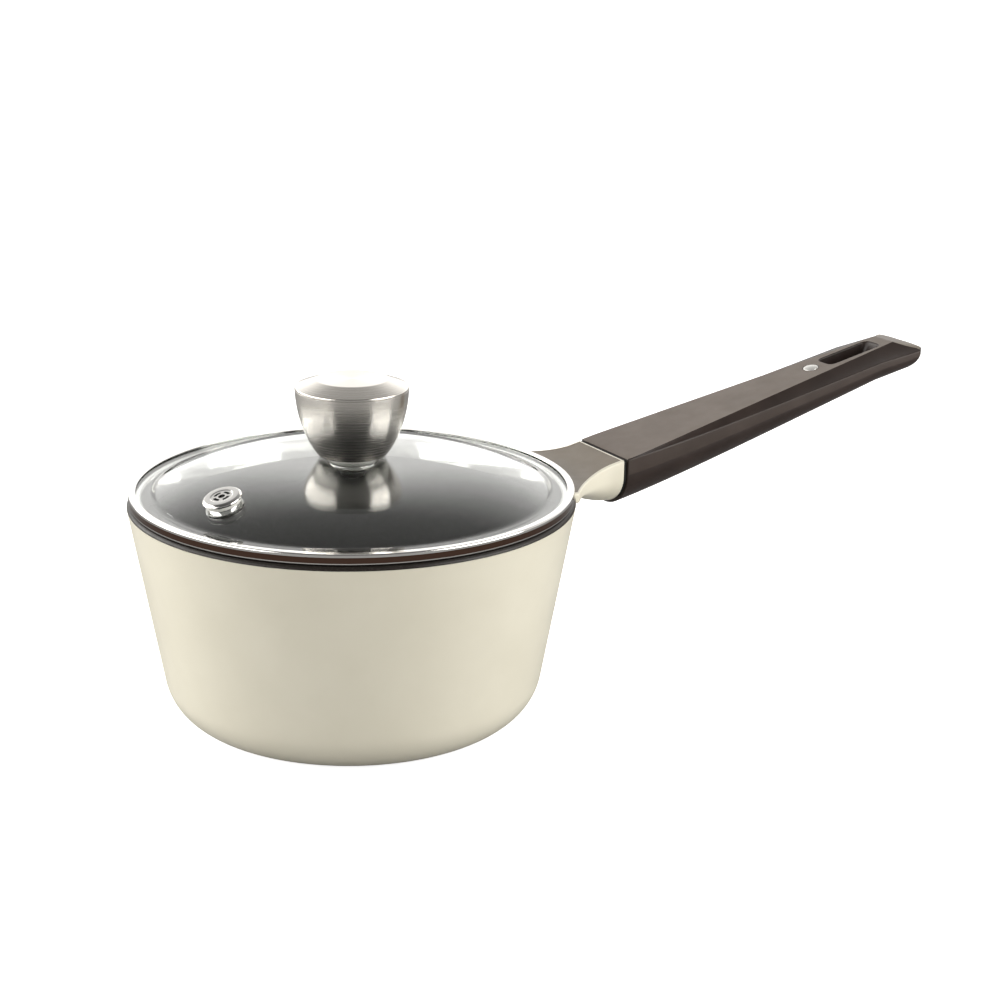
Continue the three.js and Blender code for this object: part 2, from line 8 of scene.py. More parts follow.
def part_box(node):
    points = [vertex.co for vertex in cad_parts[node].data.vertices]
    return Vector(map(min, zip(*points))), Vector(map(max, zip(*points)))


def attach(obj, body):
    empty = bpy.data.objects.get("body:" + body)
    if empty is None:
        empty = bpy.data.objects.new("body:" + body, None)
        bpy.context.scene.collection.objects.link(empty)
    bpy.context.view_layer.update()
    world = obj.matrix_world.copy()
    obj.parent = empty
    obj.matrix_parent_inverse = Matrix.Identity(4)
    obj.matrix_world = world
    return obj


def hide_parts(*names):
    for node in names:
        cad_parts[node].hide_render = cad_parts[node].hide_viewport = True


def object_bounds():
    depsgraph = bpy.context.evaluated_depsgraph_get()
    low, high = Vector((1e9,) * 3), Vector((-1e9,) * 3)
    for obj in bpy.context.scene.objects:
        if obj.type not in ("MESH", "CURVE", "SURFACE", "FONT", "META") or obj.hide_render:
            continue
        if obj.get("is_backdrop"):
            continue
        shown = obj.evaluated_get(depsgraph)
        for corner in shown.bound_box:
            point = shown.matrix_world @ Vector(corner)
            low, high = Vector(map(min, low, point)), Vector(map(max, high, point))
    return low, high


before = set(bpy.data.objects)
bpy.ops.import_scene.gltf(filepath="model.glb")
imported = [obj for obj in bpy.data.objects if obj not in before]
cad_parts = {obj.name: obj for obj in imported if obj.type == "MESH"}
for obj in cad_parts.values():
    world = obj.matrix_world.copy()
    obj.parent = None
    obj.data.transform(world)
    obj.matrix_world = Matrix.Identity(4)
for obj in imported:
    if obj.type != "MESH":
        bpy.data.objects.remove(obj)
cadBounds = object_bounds()
print("packed model loaded:", len(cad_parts), "nodes")

mm = 0.001
gap = 0.3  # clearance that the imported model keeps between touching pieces


def boxOf(node):
    low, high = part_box(node)
    return [value / mm for value in low], [value / mm for value in high]


def mix(low, high, share):
    return low + (high - low) * share


def share(value, low, high):
    return min(max((value - low) / (high - low), 0), 1)


def spread(low, high, steps):
    return [mix(low, high, i / steps) for i in range(steps + 1)]


# Outlines: lists of (radius, height, kind), where kind picks the finish of the face that follows
def arcPoints(r, z, radius, start, end, steps, kind=0):
    angles = [math.radians(angle) for angle in spread(start, end, steps)]
    return [(r + radius * math.cos(a), z + radius * math.sin(a), kind) for a in angles]


# Rounds the corners of an outline. Each corner is (radius, height, rounding) or has a kind as well.
def softCorners(corners, closed=True, steps=5):
    points = []
    count = len(corners)
    for i, corner in enumerate(corners):
        here = Vector(corner[:2])
        rounding = corner[2]
        kind = corner[3] if len(corner) > 3 else 0
        atEnd = not closed and i in (0, count - 1)
        if rounding <= 0 or atEnd:
            points.append((here.x, here.y, kind))
            continue
        before = Vector(corners[i - 1][:2]) - here
        after = Vector(corners[(i + 1) % count][:2]) - here
        half = before.angle(after) / 2
        reach = min(rounding / math.tan(half), 0.48 * before.length, 0.48 * after.length)
        first = here + before.normalized() * reach
        last = here + after.normalized() * reach
        for step in range(steps + 1):
            t = step / steps
            bend = first * (1 - t) ** 2 + here * 2 * t * (1 - t) + last * t ** 2
            points.append((bend.x, bend.y, kind))
    return points


# Meshes
def meshPiece(name, points, faces, kinds=None):
    mesh = bpy.data.meshes.new(name)
    mesh.from_pydata([[value * mm for value in point] for point in points], [], faces)
    if kinds:
        mesh.polygons.foreach_set("material_index", kinds)
    shape = bmesh.new()
    shape.from_mesh(mesh)
    bmesh.ops.remove_doubles(shape, verts=shape.verts, dist=1e-8)
    bmesh.ops.recalc_face_normals(shape, faces=shape.faces)
    shape.to_mesh(mesh)
    shape.free()
    piece = bpy.data.objects.new(name, mesh)
    bpy.context.collection.objects.link(piece)
    return piece


# Turns an outline about the upright axis. One that stays off the axis is closed on itself.
def lathe(name, outline, steps=192, placing=None):
    rings = []
    points = []
    faces = []
    kinds = []
    for r, z, kind in outline:
        if r < 1e-6:
            rings.append([len(points)])
            points.append((0, 0, z))
            continue
        rings.append(list(range(len(points), len(points) + steps)))
        for i in range(steps):
            angle = 2 * math.pi * i / steps
            points.append((r * math.cos(angle), r * math.sin(angle), z))
    onAxis = outline[0][0] < 1e-6
    for i in range(len(rings) - (1 if onAxis else 0)):
        here = rings[i]
        there = rings[(i + 1) % len(rings)]
        if len(here) == 1 and len(there) == 1:
            continue
        for k in range(steps):
            n = (k + 1) % steps
            corners = [here[k % len(here)], here[n % len(here)], there[n % len(there)], there[k % len(there)]]
            faces.append(list(dict.fromkeys(corners)))
            kinds.append(outline[i][2])
    if placing:
        points = [placing @ Vector(point) for point in points]
    return meshPiece(name, points, faces, kinds)


# Skins a row of rings that have the same number of points and closes both ends.
def loft(name, rings, kindOf=None, placing=None):
    count = len(rings[0])
    points = [point for ring in rings for point in ring]
    faces = []
    kinds = []
    for s in range(len(rings) - 1):
        nextRing = (s + 1) % len(rings)
        for i in range(count):
            n = (i + 1) % count
            corners = [s * count + i, s * count + n, nextRing * count + n, nextRing * count + i]
            faces.append(corners)
            kinds.append(kindOf(s, i) if kindOf else 0)
    faces.append(list(range(count)))
    faces.append(list(range((len(rings) - 1) * count, len(rings) * count)))
    kinds += [0, 0]
    if placing:
        points = [placing @ Vector(point) for point in points]
    return meshPiece(name, points, faces, kinds)


def block(x0, x1, y0, y1, z0, z1, placing=None):
    rings = [[(x, y0, z0), (x, y1, z0), (x, y1, z1), (x, y0, z1)] for x in (x0, x1)]
    return loft("cutter", rings, placing=placing)


def cutAway(piece, cutter):
    change = piece.modifiers.new("cut", "BOOLEAN")
    change.operation = "DIFFERENCE"
    change.solver = "EXACT"
    change.object = cutter
    graph = bpy.context.evaluated_depsgraph_get()
    cutMesh = bpy.data.meshes.new_from_object(piece.evaluated_get(graph))
    piece.modifiers.clear()
    piece.data = cutMesh
    bpy.data.objects.remove(cutter)


# Smooth faces with crisp edges where the finish changes or the surface turns sharply.
def crisp(piece, turn=32):
    shape = bmesh.new()
    shape.from_mesh(piece.data)
    for face in shape.faces:
        face.smooth = True
    for edge in shape.edges:
        if len(edge.link_faces) != 2:
            continue
        sharp = edge.calc_face_angle() > math.radians(turn)
        first, second = edge.link_faces
        edge.smooth = not (sharp or first.material_index != second.material_index)
    shape.to_mesh(piece.data)
    shape.free()


def joinMeshes(piece, others):
    shape = bmesh.new()
    shape.from_mesh(piece.data)
    for other in others:
        shape.from_mesh(other.data)
        bpy.data.objects.remove(other)
    shape.to_mesh(piece.data)
    shape.free()


# Gives a finished piece its materials and its body, and hides the node that it stands for.
def fit(piece, body, node, slot, materials, turn=32):
    for material in materials:
        if material.name not in piece.data.materials:
            piece.data.materials.append(material)
    crisp(piece, turn)
    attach(piece, body)
    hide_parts(node)
    return piece


# Finishes
socketNames = {
    "colour": "Base Color",
    "rough": "Roughness",
    "metal": "Metallic",
    "coat": "Coat Weight",
    "coatRough": "Coat Roughness",
    "ior": "IOR",
    "anisotropy": "Anisotropic",
    "anisotropyTurn": "Anisotropic Rotation",
    "clear": "Transmission Weight",
    "specular": "Specular IOR Level",
}


class Finish:
    def __init__(self, name, **values):
        self.material = bpy.data.materials.new(name)
        self.material.use_nodes = True
        self.nodes = self.material.node_tree.nodes
        self.links = self.material.node_tree.links
        self.shader = self.nodes["Principled BSDF"]
        for key, value in values.items():
            socket = self.shader.inputs[socketNames[key]]
            socket.default_value = (*value, 1) if key == "colour" else value

    def place(self, stretch=(1, 1, 1)):
        where = self.nodes.new("ShaderNodeTexCoord")
        mapping = self.nodes.new("ShaderNodeMapping")
        mapping.inputs["Scale"].default_value = stretch
        self.links.new(where.outputs["Object"], mapping.inputs["Vector"])
        return mapping.outputs["Vector"]

    # (distance from an upright axis, height), so that noise over it makes turning marks
    def turned(self, centre=(0, 0)):
        where = self.nodes.new("ShaderNodeTexCoord")
        mapping = self.nodes.new("ShaderNodeMapping")
        mapping.inputs["Location"].default_value = (-centre[0] * mm, -centre[1] * mm, 0)
        flat = self.nodes.new("ShaderNodeVectorMath")
        flat.operation = "MULTIPLY"
        flat.inputs[1].default_value = (1, 1, 0)
        away = self.nodes.new("ShaderNodeVectorMath")
        away.operation = "LENGTH"
        parts = self.nodes.new("ShaderNodeSeparateXYZ")
        joined = self.nodes.new("ShaderNodeCombineXYZ")
        self.links.new(where.outputs["Object"], mapping.inputs["Vector"])
        self.links.new(mapping.outputs["Vector"], flat.inputs[0])
        self.links.new(mapping.outputs["Vector"], parts.inputs[0])
        self.links.new(flat.outputs["Vector"], away.inputs[0])
        self.links.new(away.outputs["Value"], joined.inputs["X"])
        self.links.new(parts.outputs["Z"], joined.inputs["Y"])
        return joined.outputs["Vector"]

    def noise(self, size, where=None, detail=3, rough=0.5):
        texture = self.nodes.new("ShaderNodeTexNoise")
        texture.inputs["Scale"].default_value = 1000 / size  # size of a grain in millimetres
        texture.inputs["Detail"].default_value = detail
        texture.inputs["Roughness"].default_value = rough
        self.links.new(where or self.place(), texture.inputs["Vector"])
        return texture.outputs["Fac"]

    def remap(self, factor, low, high, start=0.3, end=0.7):
        change = self.nodes.new("ShaderNodeMapRange")
        change.inputs["From Min"].default_value = start
        change.inputs["From Max"].default_value = end
        change.inputs["To Min"].default_value = low
        change.inputs["To Max"].default_value = high
        self.links.new(factor, change.inputs["Value"])
        return change.outputs["Result"]

    def drift(self, factor, dark, light, start=0.3, end=0.7):
        ramp = self.nodes.new("ShaderNodeValToRGB")
        ramp.color_ramp.elements[0].position = start
        ramp.color_ramp.elements[0].color = (*dark, 1)
        ramp.color_ramp.elements[1].position = end
        ramp.color_ramp.elements[1].color = (*light, 1)
        self.links.new(factor, ramp.inputs["Fac"])
        self.links.new(ramp.outputs["Color"], self.shader.inputs["Base Color"])

    def roughness(self, factor, low, high):
        self.links.new(self.remap(factor, low, high), self.shader.inputs["Roughness"])

    def bump(self, factor, height, strength=1.0):
        relief = self.nodes.new("ShaderNodeBump")
        relief.inputs["Strength"].default_value = strength
        relief.inputs["Distance"].default_value = height * mm
        self.links.new(factor, relief.inputs["Height"])
        old = self.shader.inputs["Normal"].links
        if old:
            self.links.new(old[0].from_socket, relief.inputs["Normal"])
        self.links.new(relief.outputs["Normal"], self.shader.inputs["Normal"])

    def aroundAxis(self):
        tangent = self.nodes.new("ShaderNodeTangent")
        tangent.direction_type = "RADIAL"
        tangent.axis = "Z"
        self.links.new(tangent.outputs["Tangent"], self.shader.inputs["Tangent"])


def creamEnamel():
    look = Finish("creamEnamel", rough=0.34, coat=0.3, coatRough=0.16)
    look.drift(look.noise(30), (0.72, 0.685, 0.565), (0.76, 0.725, 0.605))
    look.roughness(look.noise(9), 0.3, 0.4)
    look.bump(look.noise(1.4, detail=2), 0.012)
    look.bump(look.noise(0.25, detail=1), 0.003)
    return look.material


# Satin finish between two tones: the bracket's real taupe inlay, and also the grip's painted reflection on
# the strip and end bevel and painted light on the side bands
def satinTone(name, dark, light, rough):
    look = Finish(name, rough=rough, specular=0.2)
    look.drift(look.noise(14), dark, light)
    look.roughness(look.noise(5), rough - 0.04, rough + 0.05)
    look.bump(look.noise(0.22, detail=2), 0.006)
    return look.material


def nonStick(name, dark, light):
    look = Finish(name, rough=0.4, specular=0.28)
    look.drift(look.noise(0.5, detail=2), dark, light, 0.52, 0.72)
    look.roughness(look.noise(4), 0.34, 0.46)
    look.bump(look.noise(0.35, detail=2), 0.01)
    look.bump(look.noise(0.9, look.turned(), detail=1), 0.012, 0.6)
    return look.material


def phenolic():
    look = Finish("brownPhenolic", rough=0.42, specular=0.35)
    look.drift(look.noise(12), (0.019, 0.0115, 0.009), (0.028, 0.018, 0.0145))
    look.roughness(look.noise(3), 0.36, 0.48)
    look.bump(look.noise(0.3, detail=2), 0.008)
    return look.material


def turnedSteel(name, colour, rough, anisotropy, ring, depth, centre=(0, 0)):
    look = Finish(name, colour=colour, metal=1, anisotropy=anisotropy, anisotropyTurn=0.25)
    lines = look.noise(ring, look.turned(centre), detail=4, rough=0.6)
    look.roughness(lines, rough - 0.05, rough + 0.06)
    look.bump(lines, depth)
    look.bump(look.noise(3.5), 0.002)
    look.aroundAxis()
    return look.material


def polishedSteel(name, colour):
    look = Finish(name, colour=colour, metal=1)
    look.roughness(look.noise(2.5), 0.06, 0.13)
    look.bump(look.noise(0.3, look.turned(), detail=3), 0.0008)
    return look.material


def plainSteel(name, colour, low, high):
    look = Finish(name, colour=colour, metal=1)
    look.roughness(look.noise(0.6), low, high)
    look.bump(look.noise(0.2, detail=2), 0.004)
    return look.material


def silicone():
    look = Finish("milkySilicone", rough=0.5)
    look.drift(look.noise(3), (0.66, 0.65, 0.61), (0.74, 0.73, 0.69))
    look.bump(look.noise(0.3), 0.004)
    return look.material


def blackRubber():
    look = Finish("blackRubber", rough=0.75, specular=0.3)
    look.drift(look.noise(1.5), (0.008, 0.008, 0.008), (0.018, 0.018, 0.018))
    look.bump(look.noise(0.25), 0.01)
    return look.material


def clearGlass():
    look = Finish("clearGlass", colour=(0.95, 0.975, 0.965), clear=1, ior=1.5)
    look.roughness(look.noise(25), 0.0, 0.015)
    look.bump(look.noise(45, detail=1), 0.02, 0.4)
    return look.material


enamel = creamEnamel()
taupe = satinTone("satinTone", (0.19, 0.16, 0.125), (0.225, 0.19, 0.15), 0.36)
# Near-black non-stick for the pan's top lip: the dark coat, drawn darker than the inside coat as painted
# shade from the gap under the lid band
lipCoatAndShade = nonStick("nonStickLipAndShade", (0.014, 0.011, 0.009), (0.036, 0.032, 0.029))
insideCoating = nonStick("nonStickInside", (0.036, 0.035, 0.033), (0.075, 0.073, 0.07))
brownGrip = phenolic()
# Taupe for the flat strip along the grip's top: an inlay like the bracket's, drawn lighter than the phenolic
# partly as painted reflection of light from above
gripStripInlayAndSheen = satinTone("taupeStripAndSheen", (0.155, 0.127, 0.107), (0.18, 0.15, 0.128), 0.42)
# Light beige for the grip's end bevel: a painted reflection of light off the bevel, which is the same brown
# phenolic
gripEndPaintedReflection = satinTone("paintedEndReflection", (0.2, 0.175, 0.145), (0.235, 0.205, 0.17), 0.42)
# Lighter brown for the grip's sides just under the lip: painted light on the same brown phenolic, as if lit
# from the side
gripSidePaintedLight = satinTone("paintedLitSide", (0.04, 0.029, 0.024), (0.052, 0.038, 0.032), 0.4)
knobSteel = turnedSteel("turnedSteel", (0.78, 0.75, 0.7), 0.24, 0.6, 0.1, 0.0012)
plateSteel = turnedSteel("brushedPlate", (0.56, 0.55, 0.53), 0.34, 0.6, 0.2, 0.006)
bareMetal = turnedSteel("bareAluminium", (0.72, 0.72, 0.71), 0.3, 0.5, 0.25, 0.006)
polished = polishedSteel("polishedSteel", (0.8, 0.79, 0.77))
# Polished steel tinted dark brown for the band's outer side: a painted reflection, not a colour of the steel
bandSideReflection = polishedSteel("bandSidePaintedReflection", (0.13, 0.075, 0.055))
screwSteel = plainSteel("machinedSteel", (0.52, 0.52, 0.51), 0.26, 0.4)
satin = plainSteel("satinSteel", (0.86, 0.85, 0.82), 0.42, 0.55)
milky = silicone()
rubber = blackRubber()
glassLook = clearGlass()
print("finishes made")

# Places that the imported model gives.
panLow, panHigh = boxOf("pan_body")
gasketLow, gasketHigh = boxOf("handle_gasket")
gripLow, gripHigh = boxOf("handle_grip")
bandLow, bandHigh = boxOf("lid_rim_band")
glassLow, glassHigh = boxOf("lid_glass")
plateLow, plateHigh = boxOf("induction_disc")
rimRadius = -panLow[0]
seamX = gasketLow[0] - gap
seamTopZ = gasketHigh[2]

# The pan, with the bracket and the tang cast on
bracket = {
    "root": 14,  # how far it starts inside the rim
    "flareStart": -6,  # rim to the widest point of the flare
    "flareEnd": 22,
    "halfWidth": 16.7,
    "flare": 19.3,
    "flareCurve": 1.8,
    "topRise": 4.7,  # top face above the enamel's edge, at the joint
    "rootRise": 1.2,
    "riseStart": 0.15,
    "riseCurve": 1.5,
    "depth": 20,
    "rootDepth": 10.5,  # the underside is higher at the pan
    "depthCurve": 1.6,
    "side": 6.4,
    "rootSide": 3.4,
    "corner": 0.7,  # rounded top edges
    "line": 0.75,  # cream line round the inlay: enamel showing, and partly a painted highlight along the rounded top edges
    "sink": 0.12,  # inlay below the line
    "stations": 44,
    "bellySteps": 40,
}
pan = {
    "wallLean": 10.14,  # degrees off upright
    "wall": 3,
    "base": 4.5,
    "lipStep": 0.1,
    "outerFillet": 19.5,
    "innerFillet": 16,
    "lipRadius": 1.45,
    "wallSteps": 14,
}
rimHeight = seamTopZ - bracket["topRise"]
lean = math.radians(pan["wallLean"])
reach = seamX - rimRadius


def wallRadius(z, inset=0):
    return rimRadius - (rimHeight - z) * math.tan(lean) - inset / math.cos(lean)


def bowlLine(inset, floorZ, fillet, topZ, kind):
    centreZ = floorZ + fillet
    centreR = wallRadius(centreZ, inset) - fillet / math.cos(lean)
    points = arcPoints(centreR, centreZ, fillet, -90, -pan["wallLean"], 24, kind)
    heights = spread(points[-1][1], topZ, pan["wallSteps"])[1:]
    return points + [(wallRadius(z, inset), z, kind) for z in heights]


def makeBowl():
    panBottom = panLow[2]
    recess = plateHigh[0] + gap
    under = softCorners([
        (0, plateHigh[2] + gap, 0, 2),
        (recess, plateHigh[2] + gap, 0.3, 2),
        (recess, panBottom, 0.4, 2),
        (recess + 2, panBottom, 0, 2),
    ], closed=False)
    outside = bowlLine(0, panBottom, pan["outerFillet"], rimHeight - 0.25, 0)
    edge = [(rimRadius, rimHeight - 0.08, 0), (rimRadius - 0.18, rimHeight + 0.02, 1)]
    lipZ = rimHeight + pan["lipStep"]
    lipR = rimRadius - pan["wall"] / 2
    # the lip takes the darker coat with its painted shade
    lip = arcPoints(lipR, lipZ, pan["lipRadius"], 0, 180, 14, 1)
    inside = bowlLine(pan["wall"], panBottom + pan["base"], pan["innerFillet"], rimHeight - 0.3, 3)
    outline = under + outside + edge + lip + inside[::-1] + [(0, panBottom + pan["base"], 3)]
    bowl = lathe("pan_bowl", outline, steps=256)
    return fit(bowl, "pan", "pan_body", "pan_enamel", [enamel, lipCoatAndShade, bareMetal, insideCoating])


# Outline of the bracket across the handle at x, from one top edge down, round and up to the other.
def bracketRing(x, inset=0, inlaid=True):
    out = x - rimRadius
    narrowing = share(out, bracket["flareStart"], bracket["flareEnd"])
    half = bracket["halfWidth"] + bracket["flare"] * (1 - narrowing) ** bracket["flareCurve"] - inset
    rise = share(out, bracket["riseStart"] * reach, reach) ** bracket["riseCurve"]
    topZ = rimHeight + mix(bracket["rootRise"], bracket["topRise"], rise) - inset
    deepening = 1 - (1 - share(out, 0, reach)) ** bracket["depthCurve"]
    lowZ = seamTopZ - mix(bracket["rootDepth"], bracket["depth"], deepening) + inset
    sideZ = topZ - mix(bracket["rootSide"], bracket["side"], deepening)
    belly = []
    for angle in spread(0, math.pi, bracket["bellySteps"]):
        belly.append((-half * math.cos(angle), sideZ - (sideZ - lowZ) * math.sin(angle)))
    corner = bracket["corner"]
    rightTop = [(y, z) for y, z, kind in arcPoints(half - corner, topZ - corner, corner, 0, 90, 5)]
    sink = bracket["sink"] if inlaid else 0
    inlayY = half - corner - bracket["line"]
    rightTop += [(inlayY, topZ), (inlayY - 0.12, topZ - sink)]
    leftTop = [(-y, z) for y, z in rightTop[::-1]]
    return [(x, y, z) for y, z in belly + rightTop + leftTop]


def makeBracket():
    start = rimRadius - bracket["root"]
    # The top stays cream for the last bit before the joint: partly a painted highlight on the rounded end
    lineStart = seamX - 0.95
    xs = spread(start, lineStart, bracket["stations"])
    rings = [bracketRing(x) for x in xs]
    rings += [bracketRing(lineStart + 0.1, inlaid=False)]
    roundedEnd = ((0.4, 0), (0.2, 0.05), (0.06, 0.16), (0, 0.3))  # (from the end, drawn in)
    rings += [bracketRing(seamX - back, drop, False) for back, drop in roundedEnd]
    inlayFirst = bracket["bellySteps"] + 1 + 6

    def kindOf(s, i):
        return 1 if s < len(xs) and inlayFirst <= i <= inlayFirst + 2 else 0

    piece = loft("handle_bracket", rings, kindOf)
    midWall = pan["wall"] / 2
    trim = [
        (0, rimHeight - 30, 0),
        (wallRadius(rimHeight - 30, midWall), rimHeight - 30, 0),
        (wallRadius(rimHeight, midWall), rimHeight, 0),
        (wallRadius(rimHeight, midWall), rimHeight + 20, 0),
        (0, rimHeight + 20, 0),
    ]
    for material in (enamel, taupe):
        piece.data.materials.append(material)
    cutAway(piece, lathe("cutter", trim, steps=256))
    return fit(piece, "pan", "pan_body", "pan_enamel", [enamel, taupe])


# The tang's own frame: X along it, starting under the top face at the joint.
tang = {"pitch": 12.33, "length": 42, "root": 6, "width": 16, "height": 9, "below": 9.6, "corner": 1.2}
pitch = math.radians(tang["pitch"])
tangPlace = Matrix.Translation((seamX, 0, seamTopZ - tang["below"])) @ Matrix.Rotation(-pitch, 4, "Y")


def makeTang():
    halfWidth = tang["width"] / 2
    halfHeight = tang["height"] / 2
    rings = []
    for x, inset in ((-tang["root"], 0), (0, 0), (tang["length"] - 1, 0), (tang["length"], 1)):
        corners = [(-halfWidth, -halfHeight), (halfWidth, -halfHeight)]
        corners += [(halfWidth, halfHeight), (-halfWidth, halfHeight)]
        soft = softCorners([(y, z, tang["corner"]) for y, z in corners])
        scale = 1 - inset / halfWidth
        rings.append([(x, y * scale, z * scale) for y, z, kind in soft])
    piece = loft("pan_tang", rings, placing=tangPlace)
    return fit(piece, "pan", "pan_body", "pan_enamel", [bareMetal])


plate = {
    "grooves": (14, 26, 38),
    "grooveWidth": 0.5,
    "grooveDepth": 0.3,
    "relief": 0.15,  # face above the raised rim
    "rimWidth": 4,
    "rings": 4,
    "pitch": 10.4,
    "plugRadius": 2,
}


# Plate under the base: a raised rim, turned grooves and rows of small pressed plugs.
def makePlate():
    radius = plateHigh[0]
    top = plateHigh[2]
    face = plateLow[2] + plate["relief"]
    corners = [(0, face, 0)]
    for groove in plate["grooves"]:
        half = plate["grooveWidth"] / 2
        corners.append((groove - half, face, 0.1))
        corners.append((groove, face + plate["grooveDepth"], 0.1))
        corners.append((groove + half, face, 0.1))
    inner = radius - plate["rimWidth"]
    corners += [(inner, face, 0.3), (inner + 0.3, plateLow[2], 0.2), (radius, plateLow[2], 0.4)]
    corners += [(radius, top, 0.2), (0, top, 0)]
    piece = lathe("base_plate", softCorners(corners, closed=False, steps=3), steps=192)
    plugs = []
    for ring in range(plate["rings"]):
        count = max(1, 6 * ring)
        for i in range(count):
            angle = 2 * math.pi * i / count
            away = ring * plate["pitch"]
            spot = Matrix.Translation((away * math.cos(angle), away * math.sin(angle), 0))
            r = plate["plugRadius"]
            outline = softCorners([
                (0, plateLow[2] + 0.02, 0),
                (r * 0.8, plateLow[2] + 0.03, 0.3),
                (r, face + 0.02, 0.1),
                (r, face + 0.2, 0),
                (0, face + 0.2, 0),
            ], closed=False, steps=3)
            plugs.append(lathe("plug", outline, steps=28, placing=spot))
    joinMeshes(piece, plugs)
    return fit(piece, "pan", "induction_disc", "disc_steel", [plateSteel])


makeBowl()
makeBracket()
makeTang()
makePlate()
print("pan made")

# The grip and what is in it
grip = {
    "halfWidth": 17.25,  # at the joint
    "endHalfWidth": 15.5,
    "stripHalfWidth": 6,
    "leastLip": 0.4,
    "jointLipDrop": 0.15,
    "lipDrop": 2.6,
    "lipRun": 28,
    "endLipDrop": 1.8,
    "endLipStart": 0.85,
    "hollow": 0.5,
    "side": 6.4,
    "endSide": 2.4,
    "belly": 14.9,
    "endBelly": 6.6,
    "noseLength": 5.5,
    "noseFullness": 0.86,
    "leastSide": 0.5,
    "cornerRadius": 3.5,
    "bevelLength": 9.5,
    "bevelDrop": 3.3,
    "leastBevel": 2,
    "lipRound": 0.55,
    "tipRound": 0.9,
    "facetSteps": 8,
    "bellySteps": 44,
}
gripX = gripLow[0]
gripLength = gripHigh[0] - gripX
gripSlope = math.tan(pitch)


def gripEdge(along):
    cornerIn = max(grip["cornerRadius"] - (gripLength - along), 0)
    corner = grip["cornerRadius"] - math.sqrt(max(grip["cornerRadius"] ** 2 - cornerIn ** 2, 0))
    return mix(grip["halfWidth"], grip["endHalfWidth"], along / gripLength) - corner


def gripStrip(along):
    narrowed = share(along, 0, gripLength - grip["bevelLength"])
    return min(mix(grip["halfWidth"], grip["stripHalfWidth"], narrowed), gripEdge(along) - grip["leastLip"])


def facetHeight(along, across):
    fullEdge = mix(grip["halfWidth"], grip["endHalfWidth"], along / gripLength)
    out = share(across, gripStrip(along), fullEdge)
    endDrop = grip["endLipDrop"] * share(along, grip["endLipStart"] * gripLength, gripLength)
    drop = grip["jointLipDrop"] + grip["lipDrop"] * (1 - math.exp(-along / grip["lipRun"])) + endDrop
    sink = 4 * grip["hollow"] * (along / gripLength) * out * (1 - out)
    return (gripX - seamX + along) * gripSlope - drop * out - sink


# Where the end bevel's inner edge crosses the grip, from the strip (0) to the lip (1).
def bevelStart(part):
    runOut = part * (grip["endHalfWidth"] - grip["stripHalfWidth"])
    return gripLength - max(grip["bevelLength"] - runOut, grip["leastBevel"])


# A ring's points follow the bevel's edge near the far end.
def alongFor(along, part):
    settle = gripLength - 40
    straight = gripLength - grip["bevelLength"]
    start = bevelStart(part)
    if along <= settle:
        return along
    if along <= straight:
        return mix(settle, start, (along - settle) / (straight - settle))
    return mix(start, gripLength, (along - straight) / grip["bevelLength"])


def topPoint(along, part):
    place = alongFor(along, part)
    across = mix(gripStrip(place), gripEdge(place), part)
    start = bevelStart(part)
    if place <= start + 1e-9:
        z = facetHeight(place, across)
    else:
        endHeight = (gripX - seamX + gripLength) * gripSlope - grip["bevelDrop"]
        startAcross = mix(gripStrip(start), gripEdge(start), part)
        z = mix(facetHeight(start, startAcross), endHeight, share(place, start, gripLength))
    fromTip = max(grip["tipRound"] - (gripLength - place), 0)
    z -= grip["tipRound"] - math.sqrt(grip["tipRound"] ** 2 - fromTip ** 2)
    return place, across, seamTopZ + z


def gripRing(along):
    place, edge, edgeZ = topPoint(along, 1)
    t = place / gripLength
    nose = math.sqrt(1 - (share(gripLength - place, grip["noseLength"], 0) * grip["noseFullness"]) ** 2)
    lowerEdge = seamTopZ + facetHeight(place, edge) - mix(grip["side"], grip["endSide"], t) * nose
    sideZ = min(lowerEdge, edgeZ - grip["leastSide"])
    belly = mix(grip["belly"], grip["endBelly"], t) * nose
    ring = []
    for angle in spread(0, math.pi, grip["bellySteps"]):
        ring.append((gripX + place, -edge * math.cos(angle), sideZ - belly * math.sin(angle)))
    parts = [1 - i / grip["facetSteps"] for i in range(grip["facetSteps"] + 1)]
    tops = [topPoint(along, part) for part in parts]
    lip = min(grip["lipRound"], 0.45 * (tops[0][2] - sideZ))
    inner = Vector(tops[1][1:]) - Vector(tops[0][1:])
    reachIn = inner.normalized() * lip
    lipPoints = []
    for i in range(6):
        u = i / 5
        below = Vector((edge, edgeZ - lip))
        above = Vector((edge, edgeZ)) + reachIn
        bend = below * (1 - u) ** 2 + Vector((edge, edgeZ)) * 2 * u * (1 - u) + above * u ** 2
        lipPoints.append((place, bend.x, bend.y))
    right = lipPoints + tops[1:]
    ring += [(gripX + x, y, z) for x, y, z in right]
    ring += [(gripX + x, -y, z) for x, y, z in right[::-1]]
    return ring


def shrinkRing(ring, amount):
    middleY = sum(y for x, y, z in ring) / len(ring)
    middleZ = sum(z for x, y, z in ring) / len(ring)
    points = []
    for x, y, z in ring:
        away = Vector((y - middleY, z - middleZ))
        away *= 1 - amount / max(away.length, amount)
        points.append((x, middleY + away.x, middleZ + away.y))
    return points


hangSlot = {
    "length": 25.7,
    "width": 9.4,
    "corner": 3,
    "fromEnd": 15.1,
    "rim": 0.55,  # rounded edge
    "ramp": 2.2,  # slope at the far end
    "rampDepth": 6,
}
slotEnd = gripHigh[0] - hangSlot["fromEnd"]
slotStart = slotEnd - hangSlot["length"]


def stripZ(x):
    return seamTopZ + (x - seamX) * gripSlope


